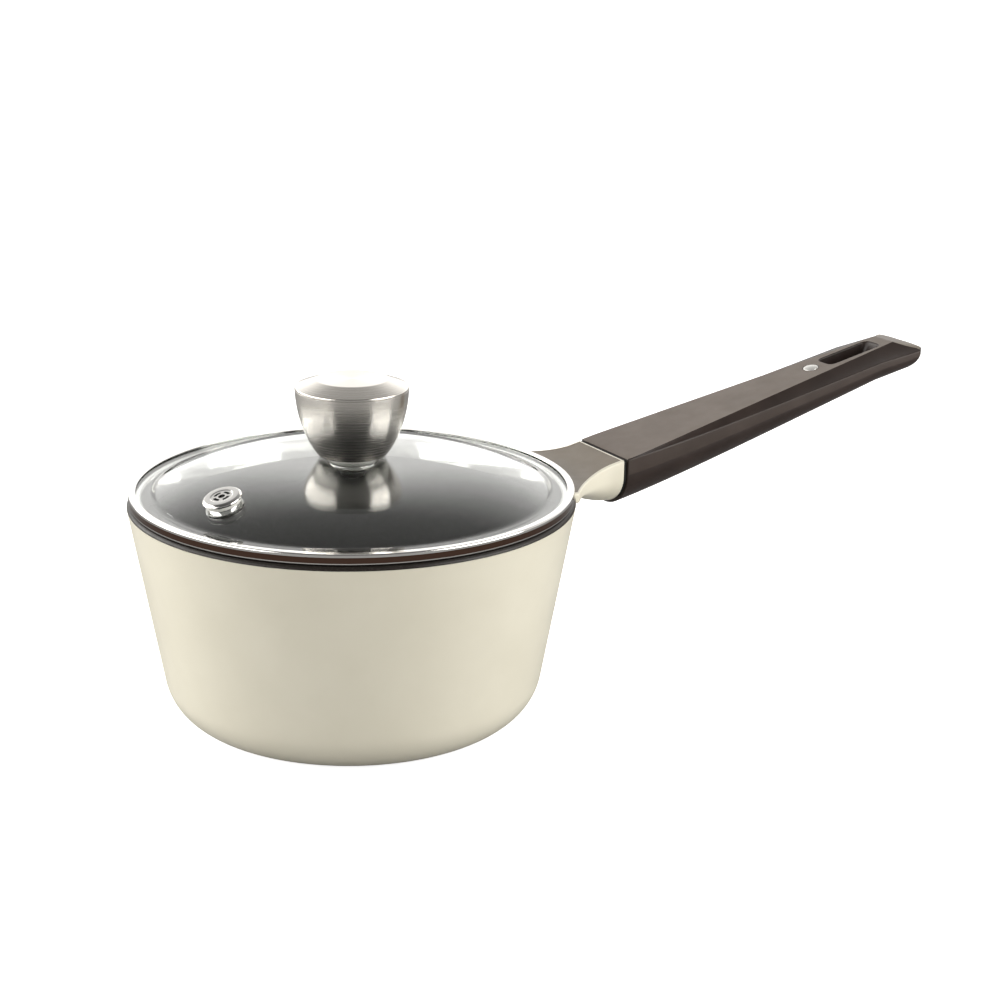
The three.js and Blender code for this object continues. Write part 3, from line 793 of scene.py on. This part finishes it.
# Cutter for the hang slot: a rolled rim, upright sides and a ramp at the far end.
def slotCutter():
    rim = hangSlot["rim"]
    levels = [(rim + 0.1, 3, 0), (rim + 0.02, 0.02, 0)]
    for angle in spread(0, math.pi / 2, 6):
        levels.append((rim * (1 - math.sin(angle)), -rim * (1 - math.cos(angle)), 0))
    levels += [(0, -hangSlot["rampDepth"], hangSlot["ramp"]), (0, -60, hangSlot["ramp"])]
    rings = []
    for grow, depth, ramp in levels:
        half = hangSlot["width"] / 2 + grow
        far = slotEnd + grow - ramp
        near = slotStart - grow
        corners = [(far, -half), (far, half), (near, half), (near, -half)]
        soft = softCorners([(x, y, hangSlot["corner"] + grow) for x, y in corners], steps=10)
        rings.append([(x, y, stripZ(x) + depth) for x, y, kind in soft])
    return loft("cutter", rings)


handleScrew = {
    "along": 24,
    "shankRadius": 2,
    "shankLength": 11,
    "headRadius": 4,
    "headHeight": 2.2,
    "seat": 2.5,
    "washer": 0.8,
    "fit": 0.4,
}
screwPlace = tangPlace @ Matrix.Translation((handleScrew["along"], 0, 0))
seatZ = -(tang["height"] / 2 + gap + handleScrew["seat"])
washerTop = seatZ - gap
badge = {"below": 0.8, "edge": 0.1, "dome": 0.42, "rounding": 0.35}
badgeLow, badgeHigh = boxOf("handle_badge")
badgeX = (badgeLow[0] + badgeHigh[0]) / 2
badgeRadius = (badgeHigh[1] - badgeLow[1]) / 2
badgePlace = Matrix.Translation((badgeX, 0, stripZ(badgeX))) @ Matrix.Rotation(-pitch, 4, "Y")


def makeGrip():
    straight = gripLength - grip["bevelLength"]
    settle = gripLength - 40
    stations = spread(0.5, settle, 54) + spread(settle, straight, 34)[1:]
    tipSteps = [1 - (1 - i / 18) ** 1.7 for i in range(1, 19)]
    stations += [mix(straight, gripLength, step) for step in tipSteps]
    rings = [gripRing(along) for along in stations]
    first = gripRing(0)
    lead = [shrinkRing(first, 0.35)]
    lead.append([(x + 0.06, y, z) for x, y, z in shrinkRing(first, 0.16)])
    lead.append([(x + 0.2, y, z) for x, y, z in shrinkRing(first, 0.04)])
    rings = lead + rings
    bevelRing = len(lead) + 54 + 34
    bellyLast = grip["bellySteps"] + 1
    lipLast = bellyLast + 5
    stripFirst = lipLast + grip["facetSteps"]
    farLip = stripFirst + grip["facetSteps"]

    def kindOf(s, i):
        # kind 1, the top strip: taupe inlay with painted reflection
        if i == stripFirst:
            return 1
        # kind 2, the end bevel: painted reflection
        if s >= bevelRing and lipLast <= i <= farLip:
            return 2
        # kind 3, the side bands under the lip: painted light
        if s >= len(lead) and (i in (bellyLast - 1, bellyLast) or i >= farLip + 4):
            return 3
        return 0

    piece = loft("grip", rings, kindOf)
    looks = [brownGrip, gripStripInlayAndSheen, gripEndPaintedReflection, gripSidePaintedLight]
    for material in looks:
        piece.data.materials.append(material)
    seat = softCorners([
        (0, -1.1, 0),
        (badgeRadius + 0.12, -1.1, 0),
        (badgeRadius + 0.12, -0.25, 0),
        (badgeRadius + 0.4, 0.02, 0),
        (badgeRadius + 0.5, 2, 0),
        (0, 2, 0),
    ], closed=False)
    cutAway(piece, lathe("cutter", seat, steps=64, placing=badgePlace))
    cutAway(piece, slotCutter())
    halfWidth = tang["width"] / 2 + gap
    halfHeight = tang["height"] / 2 + gap
    socket = (-tang["root"], tang["length"] + gap, -halfWidth, halfWidth, -halfHeight, halfHeight)
    cutAway(piece, block(*socket, tangPlace))
    wide = handleScrew["headRadius"] + 2 * gap
    narrow = handleScrew["shankRadius"] + handleScrew["fit"]
    bore = softCorners([
        (0, seatZ - 25, 0),
        (wide, seatZ - 25, 0),
        (wide, seatZ, 0.3),
        (narrow, seatZ, 0),
        (narrow, 0, 0),
        (0, 0, 0),
    ], closed=False)
    cutAway(piece, lathe("cutter", bore, steps=64, placing=screwPlace))
    return fit(piece, "pan", "handle_grip", "grip_phenolic", looks)




def makeGasket():
    inset = 0.22
    low = seamX + 0.08
    high = gripX - 0.08
    sections = ((low, 0.1), (low + 0.15, 0), (high - 0.15, 0), (high, 0.1))  # (place, softened edge)
    rings = [bracketRing(x, inset + edge, False) for x, edge in sections]
    piece = loft("joint_gasket", rings)
    halfWidth = tang["width"] / 2 + gap
    halfHeight = tang["height"] / 2 + gap
    opening = (-tang["root"], tang["root"], -halfWidth, halfWidth, -halfHeight, halfHeight)
    cutAway(piece, block(*opening, tangPlace))
    return fit(piece, "pan", "handle_gasket", "gasket_rubber", [rubber])


def makeBadge():
    low = -badge["below"]
    high = badge["edge"]
    inner = badgeRadius - badge["rounding"]
    top = arcDome(inner, high + 0.12, badge["dome"])
    outline = softCorners([
        (0, low, 0), (badgeRadius, low, 0.15), (badgeRadius, high, 0.3), (inner, high + 0.12, 0),
    ], closed=False)
    piece = lathe("grip_badge", outline + top, steps=72, placing=badgePlace)
    return fit(piece, "pan", "handle_badge", "badge_steel", [satin])


def arcDome(radius, base, rise):
    steps = 8
    shares = [1 - i / steps for i in range(1, steps + 1)]
    return [(radius * part, base + rise * (1 - part ** 2), 0) for part in shares]


# Pan-head screw with a cross recess. It stands on its head, the shank upwards.
def screwPiece(name, shankRadius, shankTop, headRadius, headHeight, headTop, placing):
    crown = headTop - headHeight
    outline = [(0, crown, 0)]
    for part in spread(0.15, 0.96, 9):
        outline.append((headRadius * part, crown + headHeight * 0.45 * part ** 2.4, 0))
    outline += [(headRadius, crown + headHeight * 0.62, 0), (headRadius, headTop, 0)]
    outline += [(shankRadius, headTop, 0)]
    thread = 0.5
    z = headTop + 0.4
    while z < shankTop - 2 * thread:
        outline += [(shankRadius, z, 0), (shankRadius - 0.22, z + thread / 2, 0)]
        z += thread
    outline += [(shankRadius, shankTop - thread, 0), (shankRadius - 0.5, shankTop, 0), (0, shankTop, 0)]
    piece = lathe(name, outline, steps=64, placing=placing)
    piece.data.materials.append(screwSteel)
    for turn in (0, math.pi / 2):
        arm = headRadius * 0.55
        thick = headRadius * 0.11
        floor = crown + headHeight * 0.6
        rings = []
        for z, scale in ((crown - 0.5, 1.08), (floor, 0.62)):
            long = arm * scale
            rings.append([(-long, -thick, z), (long, -thick, z), (long, thick, z), (-long, thick, z)])
        cutAway(piece, loft("cutter", rings, placing=placing @ Matrix.Rotation(turn, 4, "Z")))
    return piece


# Split spring washer: a ring with a gap, its ends slightly apart.
def splitWasher(name, inner, outer, low, high, placing):
    rise = 0.25 * (high - low)
    rings = []
    for angle in spread(5, 353, 88):
        turn = math.radians(angle)
        lift = rise * angle / 360
        bottom = low + lift
        top = high - rise + lift
        corners = [(inner, bottom), (outer, bottom), (outer, top), (inner, top)]
        soft = softCorners([(r, z, 0.12) for r, z in corners], steps=3)
        rings.append([(r * math.cos(turn), r * math.sin(turn), z) for r, z, kind in soft])
    return loft(name, rings, placing=placing)


makeGrip()
makeGasket()
makeBadge()
washerLow = washerTop - handleScrew["washer"]
washerHole = handleScrew["shankRadius"] + handleScrew["fit"]
washerSize = (washerHole, handleScrew["headRadius"], washerLow, washerTop)
washer = splitWasher("grip_spring_washer", *washerSize, screwPlace)
fit(washer, "pan", "handle_spring_washer", "screw_steel", [screwSteel])
headTop = washerLow - gap
shankTop = headTop + handleScrew["shankLength"]
headSize = (handleScrew["headRadius"], handleScrew["headHeight"])
gripScrew = screwPiece("grip_screw", handleScrew["shankRadius"], shankTop, *headSize, headTop, screwPlace)
fit(gripScrew, "pan", "handle_screw", "screw_steel", [screwSteel])
print("handle made")

# The lid: glass, rim band and vent
lid = {
    "strip": 0.4,
    "glass": 2.6,
    "rimLap": 2.8,
    "bend": 1.0,  # rounding of the outer top edge
    "sideDrop": 1.2,  # top down to where the painted brown reflection on the outer side starts
    "skirtInset": 4.4,
    "skirtDepth": 8,
    "skirtLean": 1.8,
    "flange": 8.1,
    "domeRise": 11.5,
    "domeCurve": 3.1,  # 2 is an even bow; more is flatter in the middle
    "domeSteps": 44,
    "hole": 4,
}
bandRadius = bandHigh[0]
bandTop = bandHigh[2]
glassRadius = glassHigh[0]
domeRadius = glassRadius - lid["flange"]
apexZ = glassHigh[2]


def domeZ(r):
    return apexZ - lid["domeRise"] * (min(r, domeRadius) / domeRadius) ** lid["domeCurve"]


def makeGlass():
    top = [(r, domeZ(r), 0) for r in spread(lid["hole"] + 0.3, domeRadius - 3, lid["domeSteps"])]
    flangeZ = apexZ - lid["domeRise"]
    bend = [top[-1], (domeRadius, flangeZ, 12), (glassRadius - 1, flangeZ, 0)]
    blend = softCorners(bend, closed=False, steps=10)[1:-1]
    outer = softCorners([
        (glassRadius - 1, flangeZ, 0),
        (glassRadius, flangeZ, 0.6),
        (glassRadius, flangeZ - lid["glass"], 0.6),
        (glassRadius - 1, flangeZ - lid["glass"], 0),
    ], closed=False, steps=4)
    upper = [(lid["hole"], top[0][1] - 0.3, 0)] + top + blend
    under = [(r, z - lid["glass"], kind) for r, z, kind in (top + blend)[::-1]]
    under += [(lid["hole"], apexZ - lid["glass"] + 0.3, 0)]
    glass = lathe("glass_disc", upper + outer + under, steps=192)
    glass.data.materials.append(glassLook)
    hole = [(0, -8, 0), (vent["hole"], -8, 0), (vent["hole"], 4, 0), (0, 4, 0)]
    cutAway(glass, lathe("cutter", hole, steps=64, placing=ventPlace))
    return fit(glass, "lid", "lid_glass", "clear_glass", [glassLook])


# The steel band is one strip folded round the glass, with a skirt that drops into the pan.
def makeBand():
    strip = lid["strip"]
    low = bandLow[2] + lid["skirtDepth"]
    skirtTop = bandRadius - lid["skirtInset"]
    skirtFoot = skirtTop - lid["skirtLean"]
    inner = bandRadius - strip
    foot = bandLow[2]
    lap = bandRadius - lid["rimLap"]
    outline = softCorners([
        (lap, bandTop, 0.22),
        (bandRadius, bandTop, lid["bend"]),
        # From this point down, the outer side takes the painted brown reflection
        (bandRadius, bandTop - lid["sideDrop"], 0, 1),
        (bandRadius, low, 0.7),
        (skirtTop, low, 0.9),
        (skirtFoot, foot, 0.2),
        (skirtFoot - strip, foot, 0.2),
        (skirtTop - strip, low + strip, 1.2),
        (inner, low + strip, 0.5),
        (inner, bandTop - strip, 0.4),
        (lap, bandTop - strip, 0.22),
    ], steps=7)
    band = lathe("rim_band", outline, steps=256)
    return fit(band, "lid", "lid_rim_band", "polished_steel", [polished, bandSideReflection], turn=50)


# Vent: its own frame has Z along the glass's outward normal, starting on the outer face.
vent = {
    "backRing": 3.8,  # outer face to the middle of the ring under the glass
    "hole": 5.5,
    "capHeight": 1.5,
    "tubeRadius": 4.3,
    "tubeWall": 0.7,
    "tubeBelow": 2.2,
    "rollRadius": 5.2,
    "rollHeight": 0.5,
    "sealRadius": 6.6,
    "sealHeight": 0.8,
    "sleeveWall": 0.6,
    "ringRadius": 7,
    "ringHeight": 1,
    "capRadius": 7.2,
    "centreHole": 1.25,
    "slotInner": 2.05,
    "slotOuter": 3.15,
    "slotCount": 4,
    "slotSweep": 62,
}
ringLow, ringHigh = boxOf("vent_back_ring")
ringMiddle = (Vector(ringLow) + Vector(ringHigh)) / 2
ventBearing = math.atan2(ringMiddle.y, ringMiddle.x)
ventTilt = 0
for settle in range(8):
    outShare = (ringMiddle.xy.length + vent["backRing"] * math.sin(ventTilt)) / domeRadius
    ventTilt = math.atan(lid["domeCurve"] * lid["domeRise"] * outShare ** (lid["domeCurve"] - 1) / domeRadius)
ventTurn = Matrix.Rotation(ventBearing, 4, "Z") @ Matrix.Rotation(ventTilt, 4, "Y")
ventPlace = Matrix.Translation(ringMiddle) @ ventTurn @ Matrix.Translation((0, 0, vent["backRing"]))
ventSteel = turnedSteel("ventSteel", (0.8, 0.79, 0.77), 0.12, 0.3, 0.3, 0.002, (ringMiddle.x, ringMiddle.y))


def makeVent():
    capLow = vent["sealHeight"] + 2 * gap
    capTop = capLow + vent["capHeight"]
    bore = vent["tubeRadius"] - vent["tubeWall"]
    foot = -lid["glass"] - vent["tubeBelow"]
    outline = softCorners([
        (0, capLow, 0),
        (bore, capLow, 0.1),
        (bore, foot, 0.2),
        (vent["rollRadius"], foot, 0.25),
        (vent["rollRadius"], foot + vent["rollHeight"], 0.2),
        (vent["tubeRadius"], foot + vent["rollHeight"], 0.1),
        (vent["tubeRadius"], capLow, 0.1),
        (vent["capRadius"], capLow, 0.3),
        (vent["capRadius"], capTop - 0.75, 0.5),
        (vent["capRadius"] - 0.9, capTop, 0.5),
        (vent["slotOuter"] + 1.1, capTop, 0.3),
        (vent["slotOuter"] + 0.7, capTop - 0.2, 0.3),
        (0, capTop - 0.2, 0),
    ], closed=False)
    cap = lathe("vent_top", outline, steps=96, placing=ventPlace)
    cap.data.materials.append(ventSteel)
    hole = vent["centreHole"]
    centre = [(0, capLow - 1, 0), (hole, capLow - 1, 0), (hole, capTop + 1, 0), (0, capTop + 1, 0)]
    cutAway(cap, lathe("cutter", centre, steps=48, placing=ventPlace))
    for i in range(vent["slotCount"]):
        middle = 360 * i / vent["slotCount"]
        halfSweep = vent["slotSweep"] / 2
        outer = arcPoints(0, 0, vent["slotOuter"], middle - halfSweep, middle + halfSweep, 14)
        inner = arcPoints(0, 0, vent["slotInner"], middle + halfSweep, middle - halfSweep, 14)
        rings = [[(x, y, z) for x, y, kind in outer + inner] for z in (capLow - 1, capTop + 1)]
        cutAway(cap, loft("cutter", rings, placing=ventPlace))
    fit(cap, "lid", "vent_cap", "polished_steel", [ventSteel])
    bore = vent["tubeRadius"] + 0.05
    sleeve = vent["tubeRadius"] + gap + vent["sleeveWall"]
    seal = softCorners([
        (bore, -lid["glass"], 0.1),
        (sleeve, -lid["glass"], 0.1),
        (sleeve, 0.06, 0.1),
        (vent["sealRadius"], 0.06, 0.3),
        (vent["sealRadius"], capLow - 0.06, 0.3),
        (bore, capLow - 0.06, 0.1),
    ])
    grommet = lathe("vent_grommet", seal, steps=96, placing=ventPlace)
    fit(grommet, "lid", "vent_seal", "seal_silicone", [milky])
    top = -lid["glass"] - 0.1
    ring = softCorners([
        (bore, top - gap - vent["ringHeight"], 0.1),
        (vent["ringRadius"], top - gap - vent["ringHeight"], 0.4),
        (vent["ringRadius"], top, 0.2),
        (bore, top, 0.1),
    ])
    backRing = lathe("vent_ring", ring, steps=96, placing=ventPlace)
    fit(backRing, "lid", "vent_back_ring", "polished_steel", [ventSteel])


makeGlass()
makeBand()
makeVent()
print("lid made")

# The knob and what holds it to the glass
knob = {
    "footRadius": 13.2,
    "footBevel": 0.6,
    "swellIn": 0.9,
    "swellHeight": 0.4,
    "wall": 0.8,
    "bodyHeight": 24.8,
    "capFlatRadius": 13.4,
    "capEdge": 0.8,
    "capWall": 1,
    "spigotDepth": 4,
    "spigotWall": 1,
    "insertFlangeRadius": 8,
    "insertFlange": 1.5,
    "insertBossRadius": 4.8,
    "insertHeight": 10,
    "shankRadius": 2.5,
    "shankIn": 7,
    "headRadius": 4.6,
    "headHeight": 3,
    "fit": 0.4,
}
washers = {
    "upperRadius": 10,
    "lowerRadius": 9,
    "thickness": 0.5,
    "cupRadius": 8.4,
    "cupThickness": 1,
    "cupDish": 1,
    "cupTopDish": 0.4,
    "cupFlatRadius": 6.2,
    "springRadius": 4.5,
    "springThickness": 1,
}
shellLow, shellHigh = boxOf("knob_shell")
capLowest, capHighest = boxOf("knob_cap")
knobZ = shellLow[2]
knobRadius = shellHigh[0]
shankHole = knob["shankRadius"] + knob["fit"]
onKnob = Matrix.Translation((0, 0, knobZ))


def knobSide(inset, steps=36):
    first = Vector((knob["footRadius"] - inset, knob["footBevel"]))
    middle = Vector((knobRadius - inset - knob["swellIn"], knob["swellHeight"] * knob["bodyHeight"]))
    last = Vector((knobRadius - inset, knob["bodyHeight"]))
    points = []
    for t in spread(0, 1, steps):
        bend = first * (1 - t) ** 2 + middle * 2 * t * (1 - t) + last * t ** 2
        points.append((bend.x, bend.y, 0))
    return points


def makeKnob():
    wall = knob["wall"]
    outside = knobSide(0)
    outside += [(knobRadius, knob["bodyHeight"] + 0.17, 0), (knobRadius - 0.06, knob["bodyHeight"] + 0.23, 0)]
    inside = [point for point in knobSide(wall, 18) if point[1] > wall + gap][::-1]
    footEdge = knob["footRadius"] - knob["footBevel"] - 0.2
    foot = [(shankHole, 0, 0), (footEdge, 0, 0), (knob["footRadius"] - 0.3, 0.2, 0)]
    floor = [(inside[-1][0] - wall, wall, 0), (shankHole, wall, 0)]
    shell = lathe("knob_body", foot + outside + inside + floor, steps=160, placing=onKnob)
    fit(shell, "lid", "knob_shell", "knob_steel", [knobSteel])
    low = knob["bodyHeight"] + gap
    seam = low - 0.02
    top = capHighest[2] - knobZ
    spigot = knobRadius - wall - 3 * gap
    outline = softCorners([
        (0, top, 0),
        (knob["capFlatRadius"], top, 2.2),
        (knobRadius, low + knob["capEdge"], 0.8),
        (knobRadius, seam, 0.06),
        (spigot, seam, 0.1),
        (spigot, low - knob["spigotDepth"], 0.2),
        (spigot - knob["spigotWall"], low - knob["spigotDepth"], 0.2),
        (spigot - knob["spigotWall"], low, 0.5),
        (knob["capFlatRadius"] - knob["capWall"], top - knob["capWall"], 0.5),
        (0, top - knob["capWall"], 0),
    ], closed=False, steps=8)
    cap = lathe("knob_top", outline, steps=160, placing=onKnob)
    fit(cap, "lid", "knob_cap", "knob_steel", [knobSteel])
    low = wall + 0.1
    insert = softCorners([
        (shankHole - 0.35, low, 0.1),
        (knob["insertFlangeRadius"], low, 0.2),
        (knob["insertFlangeRadius"], low + gap + knob["insertFlange"], 0.3),
        (knob["insertBossRadius"], low + gap + knob["insertFlange"], 0.4),
        (knob["insertBossRadius"], wall + gap + knob["insertHeight"], 0.4),
        (shankHole - 0.35, wall + gap + knob["insertHeight"], 0.2),
    ])
    piece = lathe("knob_thread_insert", insert, steps=72, placing=onKnob)
    fit(piece, "lid", "knob_insert", "screw_steel", [screwSteel])


def ringPiece(name, inner, outer, low, high, rounding, material, node, slot):
    corners = [(r, z, rounding) for r, z in ((inner, low), (outer, low), (outer, high), (inner, high))]
    return fit(lathe(name, softCorners(corners), steps=96), "lid", node, slot, [material])


def makeKnobFixings():
    glassUnder = apexZ - lid["glass"]
    upper = (shankHole, washers["upperRadius"], apexZ - 0.1, knobZ - 0.05)
    ringPiece("knob_pad", *upper, 0.3, milky, "knob_upper_seal", "seal_silicone")
    sealTop = glassUnder - 0.05
    sealLow = glassUnder - gap - washers["thickness"]
    lower = (shankHole, washers["lowerRadius"], sealLow, sealTop)
    ringPiece("lower_pad", *lower, 0.3, milky, "knob_lower_seal", "seal_silicone")
    cupTop = sealLow - 0.05
    low = sealLow - gap - washers["cupThickness"]
    dish = washers["cupDish"]
    outline = softCorners([
        (shankHole, low, 0.1),
        (washers["cupFlatRadius"], low, 0.5),
        (washers["cupRadius"], low - dish, 0.2),
        (washers["cupRadius"], cupTop - washers["cupTopDish"], 0.3),
        (washers["cupFlatRadius"], cupTop, 0.6),
        (shankHole, cupTop, 0.1),
    ])
    fit(lathe("cup_washer", outline, steps=96), "lid", "knob_cup_washer", "polished_steel", [polished])
    springTop = low - gap
    springLow = springTop - washers["springThickness"]
    upright = Matrix.Identity(4)
    size = (shankHole, washers["springRadius"], springLow, springTop)
    spring = splitWasher("knob_split_washer", *size, upright)
    fit(spring, "lid", "knob_spring_washer", "screw_steel", [screwSteel])
    head = springLow - gap
    shankTop = knobZ + knob["shankIn"]
    headSize = (knob["headRadius"], knob["headHeight"])
    screw = screwPiece("lid_screw", knob["shankRadius"], shankTop, *headSize, head, upright)
    fit(screw, "lid", "knob_screw", "screw_steel", [screwSteel])


makeKnob()
makeKnobFixings()
print("knob made")

# Camera, at the height and turn of the first view
view = {
    "azimuth": -30.16,  # degrees from straight across the handle
    "elevation": 17.1,
    "roll": 0.752,
    "distance": 810.45,
    "aimRight": 55.06,  # rim's centre to the point looked at
    "aimUp": 0.42,
    "lens": 78.0,
}


def addCamera():
    azimuth = math.radians(view["azimuth"])
    elevation = math.radians(view["elevation"])
    roll = math.radians(view["roll"])
    level = math.cos(elevation)
    forward = Vector((-math.sin(azimuth) * level, math.cos(azimuth) * level, -math.sin(elevation)))
    right = Vector((math.cos(azimuth), math.sin(azimuth), 0))
    up = right.cross(forward)
    aim = Vector((0, 0, rimHeight)) + right * view["aimRight"] + up * view["aimUp"]
    place = (aim - forward * view["distance"]) * mm
    turnedRight = right * math.cos(roll) + up * math.sin(roll)
    turnedUp = turnedRight.cross(forward)
    lens = bpy.data.cameras.new("camera")
    lens.lens = view["lens"]
    lens.sensor_width = 36
    lens.clip_start = 0.01
    lens.clip_end = 50
    camera = bpy.data.objects.new("camera", lens)
    bpy.context.collection.objects.link(camera)
    camera.matrix_world = Matrix((
        (turnedRight.x, turnedUp.x, -forward.x, place.x),
        (turnedRight.y, turnedUp.y, -forward.y, place.y),
        (turnedRight.z, turnedUp.z, -forward.z, place.z),
        (0, 0, 0, 1),
    ))
    bpy.context.scene.camera = camera
    return -forward, right


towardsCamera, cameraRight = addCamera()

# Floor and lights
studio = {
    "floorRadius": 6,
    "floorColour": (0.9, 0.9, 0.895),
    "floorGlow": 0.8,
    "floorBounce": 0.3,  # how light the floor is to everything but the camera
    "backGlow": 1.5,  # surroundings behind the pan, as seen from the camera
    "frontGlow": 0.3,
    "topGlow": 0.3,  # share left straight above
}
softboxes = [
    # name, degrees to the right of the camera, elevation, distance, width, height, power, colour
    ("leftBox", -84, 18, 1.2, 2.6, 0.9, 30, (1.0, 0.985, 0.955)),
    ("rightBox", 71, 18, 1.2, 1.05, 0.9, 16, (1.0, 0.985, 0.955)),
]


def addFloor():
    radii = [studio["floorRadius"] * 1000 * part for part in (0.03, 0.1, 0.3, 1)]
    points = [(0, 0, 0)]
    faces = []
    steps = 64
    for r in radii:
        for i in range(steps):
            angle = 2 * math.pi * i / steps
            points.append((r * math.cos(angle), r * math.sin(angle), 0))
    for i in range(steps):
        n = (i + 1) % steps
        faces.append((0, 1 + i, 1 + n))
        for ring in range(len(radii) - 1):
            a = 1 + ring * steps
            b = a + steps
            faces.append((a + i, b + i, b + n, a + n))
    floor = meshPiece("floor", points, faces)
    look = Finish("paleFloor", rough=0.7, specular=0.1)
    look.drift(look.noise(400), [0.97 * part for part in studio["floorColour"]], studio["floorColour"])
    look.shader.inputs["Emission Color"].default_value = (1, 1, 1, 1)
    look.shader.inputs["Emission Strength"].default_value = studio["floorGlow"]
    bounce = look.nodes.new("ShaderNodeBsdfDiffuse")
    bounce.inputs["Color"].default_value = [studio["floorBounce"]] * 3 + [1]
    path = look.nodes.new("ShaderNodeLightPath")
    choose = look.nodes.new("ShaderNodeMixShader")
    look.links.new(path.outputs["Is Camera Ray"], choose.inputs["Fac"])
    look.links.new(bounce.outputs["BSDF"], choose.inputs[1])
    look.links.new(look.shader.outputs["BSDF"], choose.inputs[2])
    look.links.new(choose.outputs["Shader"], look.nodes["Material Output"].inputs["Surface"])
    floor.data.materials.append(look.material)
    floor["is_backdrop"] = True


def addSoftbox(name, side, elevation, distance, width, height, power, colour):
    level = Vector((towardsCamera.x, towardsCamera.y, 0)).normalized()
    turn = math.radians(side)
    lift = math.radians(elevation)
    flat = level * math.cos(turn) + cameraRight * math.sin(turn)
    direction = flat * math.cos(lift) + Vector((0, 0, math.sin(lift)))
    lamp = bpy.data.lights.new(name, "AREA")
    lamp.shape = "RECTANGLE"
    lamp.size = width
    lamp.size_y = height
    lamp.energy = power
    lamp.color = colour
    holder = bpy.data.objects.new(name, lamp)
    bpy.context.collection.objects.link(holder)
    target = Vector((0, 0, 0.08))
    holder.location = target + direction * distance
    holder.rotation_euler = (-direction).to_track_quat("-Z", "Y").to_euler()
    holder.visible_camera = False


# Surroundings: bright and low behind the pan, dimmer towards the camera and overhead.
def addSurroundings():
    world = bpy.data.worlds.new("studio")
    bpy.context.scene.world = world
    world.use_nodes = True
    nodes = world.node_tree.nodes
    links = world.node_tree.links
    nodes.clear()
    where = nodes.new("ShaderNodeTexCoord")
    behind = nodes.new("ShaderNodeVectorMath")
    behind.operation = "DOT_PRODUCT"
    behind.inputs[1].default_value = (-towardsCamera.x, -towardsCamera.y, 0)
    level = nodes.new("ShaderNodeMapRange")
    level.inputs["From Min"].default_value = -0.5
    level.inputs["From Max"].default_value = 0.8
    level.inputs["To Min"].default_value = studio["frontGlow"]
    level.inputs["To Max"].default_value = studio["backGlow"]
    parts = nodes.new("ShaderNodeSeparateXYZ")
    height = nodes.new("ShaderNodeMapRange")
    height.inputs["From Min"].default_value = 0.32
    height.inputs["From Max"].default_value = 0.72
    height.inputs["To Min"].default_value = 1
    height.inputs["To Max"].default_value = studio["topGlow"]
    glow = nodes.new("ShaderNodeMath")
    glow.operation = "MULTIPLY"
    air = nodes.new("ShaderNodeBackground")
    air.inputs["Color"].default_value = (1, 0.985, 0.96, 1)
    backdrop = nodes.new("ShaderNodeBackground")
    path = nodes.new("ShaderNodeLightPath")
    choose = nodes.new("ShaderNodeMixShader")
    output = nodes.new("ShaderNodeOutputWorld")
    links.new(where.outputs["Generated"], behind.inputs[0])
    links.new(behind.outputs["Value"], level.inputs["Value"])
    links.new(where.outputs["Generated"], parts.inputs[0])
    links.new(parts.outputs["Z"], height.inputs["Value"])
    links.new(level.outputs["Result"], glow.inputs[0])
    links.new(height.outputs["Result"], glow.inputs[1])
    links.new(glow.outputs["Value"], air.inputs["Strength"])
    links.new(path.outputs["Is Camera Ray"], choose.inputs["Fac"])
    links.new(air.outputs["Background"], choose.inputs[1])
    links.new(backdrop.outputs["Background"], choose.inputs[2])
    links.new(choose.outputs["Shader"], output.inputs["Surface"])
    backdrop.inputs["Color"].default_value = (1, 1, 1, 1)


addFloor()
for box in softboxes:
    addSoftbox(*box)
addSurroundings()
bpy.context.scene.view_settings.view_transform = "Standard"
print("studio set")

boxes = {"cad": cadBounds, "visual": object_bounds()}
plain = {key: [[float(value) for value in corner] for corner in box] for key, box in boxes.items()}
